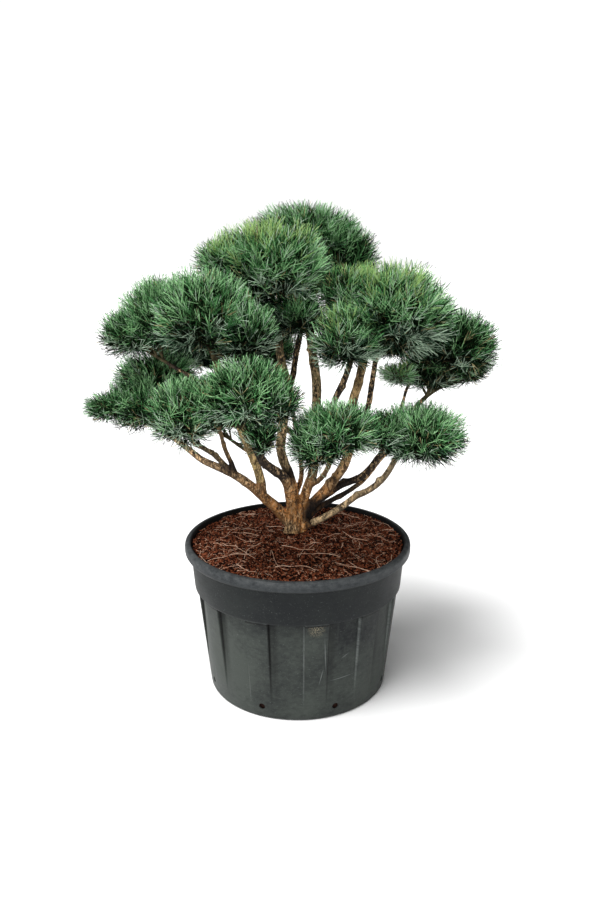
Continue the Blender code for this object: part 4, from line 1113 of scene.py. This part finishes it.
    def needles(self, shoots: Shoots, layer: Layer) -> Needles:
        """The needles of a layer's shoots, in sprays that share a tint."""
        count, each = len(shoots.tips), layer.needles
        place = (np.arange(each) + 0.5) / each
        turn = np.arange(each) * GOLDEN + self.rng.uniform(0, 2 * math.pi, (count, 1))
        side = unit(np.cross(shoots.ways, np.array([0.31, 0.95, 0.11])))
        other = np.cross(shoots.ways, side)
        around = side[:, None] * np.cos(turn)[..., None] + other[:, None] * np.sin(turn)[..., None]
        lean = np.radians(np.interp(place, (0, 1), self.needle_angles) + self.rng.normal(0, self.needle_scatter, (count, each)))
        ways = shoots.ways[:, None] * np.cos(lean)[..., None] + around * np.sin(lean)[..., None]
        ways = unit(ways + self.rng.normal(0, 0.07, ways.shape) + (0.0, 0.0, 0.10))
        starts = shoots.tips[:, None] - shoots.ways[:, None] * (shoots.lengths[:, None] * (1 - place))[..., None]
        lengths = self.rng.uniform(*self.needle_lengths, (count, each)) * np.interp(place, (0, 1), (0.85, 1.08))
        tints = self.tints(shoots, place).ravel()
        starts, ways, lengths = starts.reshape(-1, 3), ways.reshape(-1, 3), lengths.ravel()
        low, high = np.array(CAD_BOX[0]) + 0.001, np.array(CAD_BOX[1]) - 0.001
        room = np.where(ways > 0, (high - starts) / np.maximum(ways, 1e-6), (starts - low) / np.maximum(-ways, 1e-6))
        lengths = np.minimum(lengths, room.min(axis=1))
        ends = starts + ways * lengths[:, None]
        keep = (SPACE.norm_in(self.mass.lobes, ends) < self.reach_limit) & (lengths > 0.012)
        keep &= self.own_space(ends, 0.002, self.neighbour_play)
        return Needles(starts[keep], ends[keep], tints[keep])

    def tints(self, shoots: Shoots, place: np.ndarray) -> np.ndarray:
        """The tint of each needle, dealt from a painted light score: lighter towards the shoot's tip, and the same
        within a spray.
        """
        spray = np.arange(len(place)) // self.spray_size
        shape = (len(shoots.tips), spray[-1] + 1)
        chance = self.rng.normal(0, self.contrast, shape)[:, spray]
        score = shoots.light[:, None] + (place[None] - 0.5) * self.place_light + chance
        order = list(Tint)
        tints = np.full(score.shape, order.index(Tint.DARK))
        for tint, level in reversed(list(zip(order, self.levels))):
            tints[score > level] = order.index(tint)
        zone = shoots.zone[:, None]
        # Painted highlight: a share of the pale sprays turns silver as glints.
        painted_glints = self.rng.random(shape)[:, spray] < self.painted_glint_share
        tints[painted_glints & (tints == order.index(Tint.PALE))] = order.index(Tint.SILVER)
        # Painted light: on bright masses the pale sprays of the top turn yellow, as if in sunlight.
        if self.mass.light >= self.sunny:
            tints[(zone > self.top_zone) & (tints == order.index(Tint.PALE))] = order.index(Tint.YELLOW)
        # Painted shade on the undersides: below the low zone no lit greens are dealt, and the score picks silver,
        # bluish or DARK instead.
        low = np.full(score.shape, order.index(Tint.DARK))
        for tint, level in reversed(list(zip((Tint.SILVER, Tint.BLUISH), self.low_levels))):
            low[score > level] = order.index(tint)
        tints = np.where(zone < self.low_zone, low, tints)
        share = self.old_share + self.old_share_low * (shoots.light < 0.35 + self.mass.light)
        old = self.rng.random(shape) < share[:, None]
        tints[old[:, spray]] = order.index(Tint.OLD)
        return tints

    def needle_mesh(self, starts: np.ndarray, ends: np.ndarray) -> Arrays:
        """Closed needles of four faces each: an edge across at the foot, and one the other way at the tip."""
        ways = unit(ends - starts)
        turn = self.rng.uniform(0, 2 * math.pi, (len(starts), 1))
        first = unit(np.cross(ways, np.array([0.31, 0.95, 0.11])))
        second = np.cross(ways, first)
        side = first * np.cos(turn) + second * np.sin(turn)
        other = np.cross(ways, side)
        width = self.rng.uniform(0.85, 1.15, (len(starts), 1))
        foot, tip = side * width * self.needle_foot, other * width * self.needle_tip
        points = np.stack([starts - foot, starts + foot, ends - tip, ends + tip], 1)
        faces = np.array([(0, 1, 2), (1, 0, 3), (0, 2, 3), (2, 1, 3)])[None]
        return points.reshape(-1, 3), (faces + 4 * np.arange(len(starts))[:, None, None]).reshape(-1, 3)

    def build(self, greens: dict[Tint, bpy.types.Material], bark: bpy.types.Material,
              young_bark: bpy.types.Material) -> int:
        """Builds the mass's pieces.

        Args:
            greens: the needles' materials.
            bark: the material of the forks.
            young_bark: the material of the shoots' twigs.

        Returns:
            How many triangles the mass has.
        """
        layers = [self.grow_shoots(layer) for layer in self.layers]
        twigs, ends_of = self.build_twigs(layers)
        finish_piece(twigs, bark, Slot.BARK, self.name)
        finish_piece(ends_of, young_bark, Slot.BARK, self.name)
        found = [self.needles(shoots, layer) for shoots, layer in zip(layers, self.layers)]
        starts = np.concatenate([part.starts for part in found])
        ends = np.concatenate([part.ends for part in found])
        tints = np.concatenate([part.tints for part in found])
        total = len(twigs.data.polygons) + len(ends_of.data.polygons)
        for index, tint in enumerate(Tint):
            mine = tints == index
            if not mine.any():
                continue
            piece = mesh_object(f"{self.name}_needles_{tint.name.lower()}", *self.needle_mesh(starts[mine], ends[mine]))
            finish_piece(piece, greens[tint], Slot.NEEDLES, self.name)
            total += len(piece.data.polygons)
        return total


# Pot and soil

@dataclass
class Pot:
    """The round nursery pot with its rolled lip, plain collar and fluted body."""

    rim_height: float = 0.585
    rim_inner_radius: float = 0.411
    lip: tuple[tuple[float, float], ...] = (
        (0.412, 0.5835), (0.4145, 0.5848), (0.418, 0.585), (0.424, 0.585), (0.4295, 0.5825), (0.4328, 0.578),
        (0.434, 0.572), (0.434, 0.556), (0.4328, 0.5495), (0.430, 0.5455), (0.426, 0.543), (0.414, 0.5415))
    collar: tuple[tuple[float, float], ...] = (
        (0.4105, 0.540), (0.410, 0.534), (0.4052, 0.473), (0.4004, 0.416), (0.3996, 0.4105), (0.3972, 0.4075),
        (0.3925, 0.4062))
    body_top: float = 0.404
    body_top_radius: float = 0.390
    base_radius: float = 0.346
    base_rounding: float = 0.010
    wall: float = 0.004
    floor: float = 0.006
    flutes: int = 11
    flute_depth: float = 0.017
    flute_foot: float = 0.070
    flute_floor_half: float = math.radians(9.1)
    flute_edge_half: float = math.radians(10.1)
    flute_phase: float = math.radians(-6.0)
    flute_steps: int = 64
    holes: int = 8
    hole_radius: float = 0.012
    hole_height: float = 0.048
    hole_phase: float = math.radians(-21.8)

    def body_radius(self, height: float) -> float:
        """The body's outer radius at a height."""
        return self.base_radius + (self.body_top_radius - self.base_radius) * min(1.0, height / self.body_top)

    def depth(self, height: float) -> float:
        """The flutes' depth at a height."""
        rise = (min(height, self.body_top) - self.flute_foot) / (self.body_top - self.flute_foot)
        return self.flute_depth * max(0.0, rise) ** 0.8

    def sunk(self, angle: float) -> float:
        """How far into a flute an angle lies: 1 on its floor, 0 on the land between two flutes."""
        pitch = 2 * math.pi / self.flutes
        off = abs((angle - self.flute_phase + pitch / 2) % pitch - pitch / 2)
        t = (off - self.flute_floor_half) / (self.flute_edge_half - self.flute_floor_half)
        t = min(1.0, max(0.0, t))
        return 1 - t * t * (3 - 2 * t)

    def profile(self) -> list[Point]:
        """The wall's outline as (radius, height, share of the flute), from the middle of the floor round."""
        inner = [(0.0, self.floor, 0.0)]
        for height in (self.floor, self.flute_foot, 0.15, 0.25, 0.33, self.body_top - 0.004):
            inner.append((self.body_radius(height) - self.wall, height, self.depth(height)))
        inner += [(self.collar[3][0] - self.wall, 0.425, 0.0), (self.collar[1][0] - self.wall, 0.540, 0.0)]
        inner.append((self.rim_inner_radius, self.rim_height - 0.003, 0.0))
        outer = [(radius, height, 0.0) for radius, height in self.lip + self.collar]
        heights = (self.body_top, 0.398, 0.375, 0.330, 0.285, 0.240, 0.195, 0.150, 0.115, 0.090, self.flute_foot, 0.040)
        outer += [(self.body_radius(height), height, self.depth(height)) for height in heights]
        for share in np.linspace(0, 1, 5):
            angle = share * math.pi / 2
            radius = self.body_radius(self.base_rounding) - self.base_rounding * (1 - math.cos(angle))
            outer.append((radius, self.base_rounding * (1 - math.sin(angle)), 0.0))
        return inner + outer + [(0.0, 0.0, 0.0)]

    def build(self) -> None:
        """Spins the profile, sinks the flutes, dents the lip, and cuts the drain holes."""
        profile = self.profile()
        shell = bmesh.new()
        depths = shell.verts.layers.float.new("depth")
        verts = [shell.verts.new((0.0, -radius, height)) for radius, height, _ in profile]
        edges = [shell.edges.new(pair) for pair in zip(verts, verts[1:])]
        for vert, (_, _, depth) in zip(verts, profile):
            vert[depths] = depth
        steps = self.flutes * self.flute_steps
        bmesh.ops.spin(shell, geom=verts + edges, cent=(0, 0, 0), axis=(0, 0, 1), angle=2 * math.pi, steps=steps, use_merge=True)
        bmesh.ops.remove_doubles(shell, verts=shell.verts, dist=0.00002)
        for vert in shell.verts:
            radius = math.hypot(vert.co.x, vert.co.y)
            if vert[depths] > 0 and radius > 0.01:
                angle = math.atan2(vert.co.x, -vert.co.y)
                share = 1 - vert[depths] * self.sunk(angle) / radius
                vert.co.x *= share
                vert.co.y *= share
        self.dent_lip(shell)
        bmesh.ops.recalc_face_normals(shell, faces=shell.faces)
        pot = object_from_bmesh("pot_wall", shell)
        self.cut_holes(pot)
        pot.data.polygons.foreach_set("use_smooth", np.ones(len(pot.data.polygons), bool))
        pot.data.set_sharp_from_angle(angle=math.radians(32))
        finish_piece(pot, PlasticFinish().material(), Slot.PLASTIC, "pot")

    def dent_lip(self, shell: bmesh.types.BMesh) -> None:
        """Small dents along the lip's edge, and one nick at the front."""
        for vert in shell.verts:
            radius = math.hypot(vert.co.x, vert.co.y)
            if vert.co.z < 0.540 or radius < 0.412:
                continue
            angle = math.atan2(vert.co.x, -vert.co.y)
            wave = noise.noise(Vector((math.sin(angle) * 4, math.cos(angle) * 4, 3.1)))
            nick = math.exp(-((angle + 0.158) / 0.006) ** 2) * (vert.co.z < 0.560)
            share = 1 - (0.0010 * max(0.0, wave) + 0.0032 * nick) / radius
            vert.co.x *= share
            vert.co.y *= share

    def cut_holes(self, pot: bpy.types.Object) -> None:
        """Cuts the drain holes round the foot."""
        shell = bmesh.new()
        for hole in range(self.holes):
            angle = self.hole_phase + 2 * math.pi * hole / self.holes
            out = Vector((math.sin(angle), -math.cos(angle), 0.0))
            place = Matrix.Translation(out * (self.base_radius - 0.002) + Vector((0, 0, self.hole_height)))
            turn = out.to_track_quat("Z", "Y").to_matrix().to_4x4()
            bmesh.ops.create_cone(shell, cap_ends=True, segments=24, radius1=self.hole_radius, radius2=self.hole_radius,
                                  depth=0.05, matrix=place @ turn)
        cutter = object_from_bmesh("hole_cutter", shell)
        cut = pot.modifiers.new("holes", "BOOLEAN")
        cut.operation = "DIFFERENCE"
        cut.solver = "EXACT"
        cut.object = cutter
        apply_modifiers(pot)
        bpy.data.objects.remove(cutter)


@dataclass
class Soil:
    """The filling of the pot: a body, a layer of bark chips, and pale roots and needles lying on them."""

    pot: Pot
    edge: float = 0.571
    middle: float = 0.585
    flat_radius: float = 0.150
    lumps: float = 0.004
    chips: int = 24000
    chip_sizes: tuple[float, float] = (0.0022, 0.0066)
    roots: int = 46
    fallen: int = 170
    foot: tuple[float, float] = (-0.016, 0.068)
    # Painted shadow: the centre of the patch behind the trunk that is left with few chips.
    painted_shadow_patch: tuple[float, float] = (0.095, 0.250)
    foot_radius: float = 0.062

    def surface(self, x: float, y: float) -> float:
        """The height of the soil at a point."""
        radius = math.hypot(x, y)
        share = min(1.0, max(0.0, (radius - self.flat_radius) / (0.404 - self.flat_radius)))
        base = self.middle + (self.edge - self.middle) * share
        near = math.exp(-((math.hypot(x - self.foot[0], y - self.foot[1]) - 0.055) / 0.05) ** 2)
        lump = noise.noise(Vector((x * 13, y * 13, 0.5))) + 0.5 * noise.noise(Vector((x * 34, y * 34, 2.5)))
        return base - 0.004 + self.lumps * lump + 0.004 * near

    def build(self) -> None:
        """Builds the body, the chips, the roots and the fallen needles."""
        self.build_body()
        rng = np.random.default_rng(SEED + 100)
        finishes = {
            "dark": PlainFinish("chips_dark", (0.004, 0.001, 0.001), (0.022, 0.006, 0.003), 160.0),
            "red": PlainFinish("chips_red", (0.120, 0.030, 0.013), (0.280, 0.085, 0.040), 160.0),
            "tan": PlainFinish("chips_tan", (0.330, 0.140, 0.075), (0.560, 0.330, 0.220), 160.0),
        }
        for (tone, finish), share in zip(finishes.items(), (0.44, 0.47, 0.09)):
            piece = self.chip_layer(f"soil_chips_{tone}", round(self.chips * share), rng)
            finish_piece(piece, finish.material(), Slot.MULCH)
        straw = PlainFinish("dry_roots", (0.620, 0.360, 0.240), (0.920, 0.640, 0.480), 60.0, 0.15)
        dry = straw.material()
        finish_piece(self.strands("soil_roots", self.roots, (0.024, 0.100), (0.0006, 0.0015), 0.14, 6, rng), dry, Slot.MULCH)
        finish_piece(self.strands("soil_fallen_needles", self.fallen, (0.012, 0.026), (0.0005, 0.0008), 0.06, 3, rng), dry, Slot.MULCH)

    def build_body(self) -> None:
        """The soil itself, with a lumpy top."""
        pot = self.pot
        heights = (pot.floor + 0.0005, pot.flute_foot, 0.150, 0.250, pot.body_top - 0.006)
        profile = [(0.0, pot.floor + 0.0005)]
        profile += [(pot.body_radius(height) - pot.wall - 0.0005 - pot.depth(height), height) for height in heights]
        profile += [(pot.collar[3][0] - pot.wall - 0.001, 0.430), (pot.collar[1][0] - pot.wall - 0.001, 0.535)]
        profile += [(0.4045, 0.5600)]
        profile += [(radius, 0.570) for radius in np.linspace(0.400, 0.006, 62)] + [(0.0, 0.570)]
        shell = bmesh.new()
        verts = [shell.verts.new((0.0, -radius, height)) for radius, height in profile]
        edges = [shell.edges.new(pair) for pair in zip(verts, verts[1:])]
        bmesh.ops.spin(shell, geom=verts + edges, cent=(0, 0, 0), axis=(0, 0, 1), angle=2 * math.pi, steps=220, use_merge=True)
        bmesh.ops.remove_doubles(shell, verts=shell.verts, dist=0.00002)
        for vert in shell.verts:
            if vert.co.z > 0.550:
                vert.co.z = self.surface(vert.co.x, vert.co.y)
        bmesh.ops.recalc_face_normals(shell, faces=shell.faces)
        body = object_from_bmesh("soil_body", shell)
        body.data.polygons.foreach_set("use_smooth", np.ones(len(body.data.polygons), bool))
        finish = PlainFinish("soil_dark", (0.003, 0.001, 0.001), (0.014, 0.005, 0.003), 90.0)
        finish_piece(body, finish.material(), Slot.MULCH, "soil")

    def scattered(self, count: int, rng: np.random.Generator) -> np.ndarray:
        """Places on the soil, outside the trunk's foot and thinned where the painted shadow behind the trunk lies,
        (count, 3).
        """
        radius = 0.4025 * np.sqrt(rng.random(count * 2))
        angle = rng.uniform(0, 2 * math.pi, count * 2)
        places = np.stack([radius * np.cos(angle), radius * np.sin(angle)], 1)
        clear = np.hypot(places[:, 0] - self.foot[0], places[:, 1] - self.foot[1]) > self.foot_radius * 0.75
        # Painted shadow: few chips in a patch behind the trunk, so the very dark soil shows as shade.
        shadow_distance = np.hypot((places[:, 0] - self.painted_shadow_patch[0]) / 0.11, (places[:, 1] - self.painted_shadow_patch[1]) / 0.15)
        clear &= rng.random(len(places)) < np.interp(shadow_distance, (0.5, 1.1), (0.30, 1.0))
        places = places[clear][:count]
        heights = np.array([self.surface(x, y) for x, y in places])
        return np.column_stack([places, heights])

    def chip_layer(self, name: str, count: int, rng: np.random.Generator) -> bpy.types.Object:
        """Many small angular chips as one mesh."""
        corners = np.array([(1, 0, 0), (-1, 0, 0), (0, 1, 0), (0, -1, 0), (0, 0, 1), (0, 0, -1)], float)
        faces = np.array([(0, 2, 4), (2, 1, 4), (1, 3, 4), (3, 0, 4), (2, 0, 5), (1, 2, 5), (3, 1, 5), (0, 3, 5)])
        places = self.scattered(count, rng)
        count = len(places)
        size = rng.uniform(*self.chip_sizes, (count, 1)) * np.stack(
            [rng.uniform(0.8, 1.5, count), rng.uniform(0.45, 0.9, count), rng.uniform(0.22, 0.5, count)], 1)
        shape = corners[None] * size[:, None] + rng.normal(0, 0.16, (count, 6, 3)) * size[:, None]
        turn, tip = rng.uniform(0, 2 * math.pi, count), rng.normal(0, 0.45, (2, count))
        cos_turn, sin_turn = np.cos(turn), np.sin(turn)
        spin = np.zeros((count, 3, 3))
        spin[:, 0, 0], spin[:, 0, 1], spin[:, 1, 0], spin[:, 1, 1], spin[:, 2, 2] = cos_turn, -sin_turn, sin_turn, cos_turn, 1
        lean = np.zeros((count, 3, 3))
        lean[:, 0, 0], lean[:, 0, 2], lean[:, 2, 0], lean[:, 2, 2], lean[:, 1, 1] = (
            np.cos(tip[0]), np.sin(tip[0]), -np.sin(tip[0]), np.cos(tip[0]), 1)
        shape = np.einsum("nij,nkj->nki", spin @ lean, shape)
        places[:, 2] += rng.uniform(-0.0008, 0.0030, count)
        points = (shape + places[:, None]).reshape(-1, 3)
        return mesh_object(name, points, (faces[None] + 6 * np.arange(count)[:, None, None]).reshape(-1, 3))

    def strands(self, name: str, count: int, lengths: tuple[float, float], sizes: tuple[float, float],
                bend: float, sides: int, rng: np.random.Generator) -> bpy.types.Object:
        """Thin bent strands lying on the chips.

        Args:
            name: the piece's name.
            count: how many strands there are.
            lengths: the least and greatest half length.
            sizes: the least and greatest radius.
            bend: how far a strand turns in each step.
            sides: the sides of a strand.
            rng: the chance to draw from.

        Returns:
            The piece.
        """
        steps = 12
        middles = self.scattered(count, rng)
        heading = rng.uniform(0, 2 * math.pi, count)
        half = rng.uniform(*lengths, count)
        turns = np.cumsum(rng.normal(0, bend, (count, steps)) + rng.normal(0, bend * 0.4, (count, 1)), axis=1)
        angles = heading[:, None] + turns
        stride = (2 * half / steps)[:, None]
        xs = middles[:, 0, None] + np.cumsum(np.cos(angles) * stride, axis=1) - np.cos(heading)[:, None] * half[:, None]
        ys = middles[:, 1, None] + np.cumsum(np.sin(angles) * stride, axis=1) - np.sin(heading)[:, None] * half[:, None]
        out = np.hypot(xs, ys)
        hold = np.minimum(1.0, 0.396 / np.maximum(out, 1e-6))
        xs, ys = xs * hold, ys * hold
        rise = np.abs(np.sin(np.linspace(0.3, 5.5, steps)[None] + heading[:, None])) * 0.004
        zs = np.array([[self.surface(x, y) for x, y in zip(*row)] for row in zip(xs, ys)]) + 0.0028 + rise
        radii = rng.uniform(*sizes, count)[:, None] * np.linspace(1.0, 0.6, steps)[None]
        return mesh_object(name, *tubes(np.stack([xs, ys, zs], 2), radii, sides), smooth=True)


# Floor, light and camera

@dataclass
class Studio:
    """The pale floor, the soft light and the camera."""

    floor_radius: float = 30.0
    floor_colour: Colour = (0.97, 0.97, 0.97)
    camera_place: Point = (0.009, -3.0368, 1.7682)
    camera_pitch: float = math.pi / 2 - 0.2682
    lens: float = 33.464
    backdrop: float = 1.05
    sky: float = 0.32
    sun_strength: float = 4.2
    sun_angle: float = math.radians(35)
    sun_way: Point = (-0.30, -0.22, 1.0)
    fill_strength: float = 1.3
    fill_angle: float = math.radians(30)
    fill_way: Point = (-0.45, -1.0, 0.38)

    def build(self) -> None:
        """Builds the stage."""
        shell = bmesh.new()
        bmesh.ops.create_circle(shell, cap_ends=True, segments=96, radius=self.floor_radius)
        floor = object_from_bmesh("floor", shell)
        recipe = Recipe("floor_pale", 0.8, 0.2)
        floor.data.materials.append(recipe.done(self.floor_colour))
        bpy.context.scene.view_settings.view_transform = "Standard"
        world = bpy.data.worlds.new("studio")
        bpy.context.scene.world = world
        world.use_nodes = True
        nodes, links = world.node_tree.nodes, world.node_tree.links
        backdrop = nodes["Background"]
        soft = nodes.new("ShaderNodeBackground")
        for sky, strength in ((backdrop, self.backdrop), (soft, self.sky)):
            sky.inputs["Color"].default_value = (1.0, 1.0, 1.0, 1.0)
            sky.inputs["Strength"].default_value = strength
        seen, both = nodes.new("ShaderNodeLightPath"), nodes.new("ShaderNodeMixShader")
        links.new(seen.outputs["Is Camera Ray"], both.inputs[0])
        links.new(soft.outputs[0], both.inputs[1])
        links.new(backdrop.outputs[0], both.inputs[2])
        links.new(both.outputs[0], nodes["World Output"].inputs["Surface"])
        for name, strength, angle, way in (("soft_sun", self.sun_strength, self.sun_angle, self.sun_way),
                                           ("soft_fill", self.fill_strength, self.fill_angle, self.fill_way)):
            sun = bpy.data.lights.new(name, "SUN")
            sun.angle = angle
            sun.energy = strength
            lamp = bpy.data.objects.new(name, sun)
            lamp.rotation_euler = (-Vector(way)).to_track_quat("-Z", "Y").to_euler()
            bpy.context.scene.collection.objects.link(lamp)
        data = bpy.data.cameras.new("camera")
        data.lens = self.lens
        data.sensor_fit = "VERTICAL"
        data.sensor_height = 36.0
        camera = bpy.data.objects.new("camera", data)
        camera.location = self.camera_place
        camera.rotation_euler = (self.camera_pitch, 0.0, 0.0)
        bpy.context.scene.collection.objects.link(camera)
        bpy.context.scene.camera = camera


def main() -> None:
    """Builds the stage, the pot, the soil, the wood and the foliage."""
    logging.basicConfig(level=logging.INFO, format="%(message)s")
    Studio().build()
    pot = Pot()
    pot.build()
    Soil(pot).build()
    wood = Wood()
    wood.grow()
    wood.build()
    greens = {tint: NeedleFinish(tint).material() for tint in Tint}
    twig_bark = PlainFinish("twig_bark", (0.034, 0.030, 0.016), (0.090, 0.074, 0.040), 60.0).material()
    shoot_bark = PlainFinish("shoot_bark", (0.022, 0.024, 0.010), (0.055, 0.048, 0.024), 60.0).material()
    total = 0
    for index, (name, mass) in enumerate(MASSES.items()):
        foliage = Foliage(name, mass, wood.grown[mass.bough], list(wood.grown.values()), index)
        total += foliage.build(greens, twig_bark, shoot_bark)
    LOG.info("foliage: %d triangles", total)


if __name__ == "__main__":
    main()
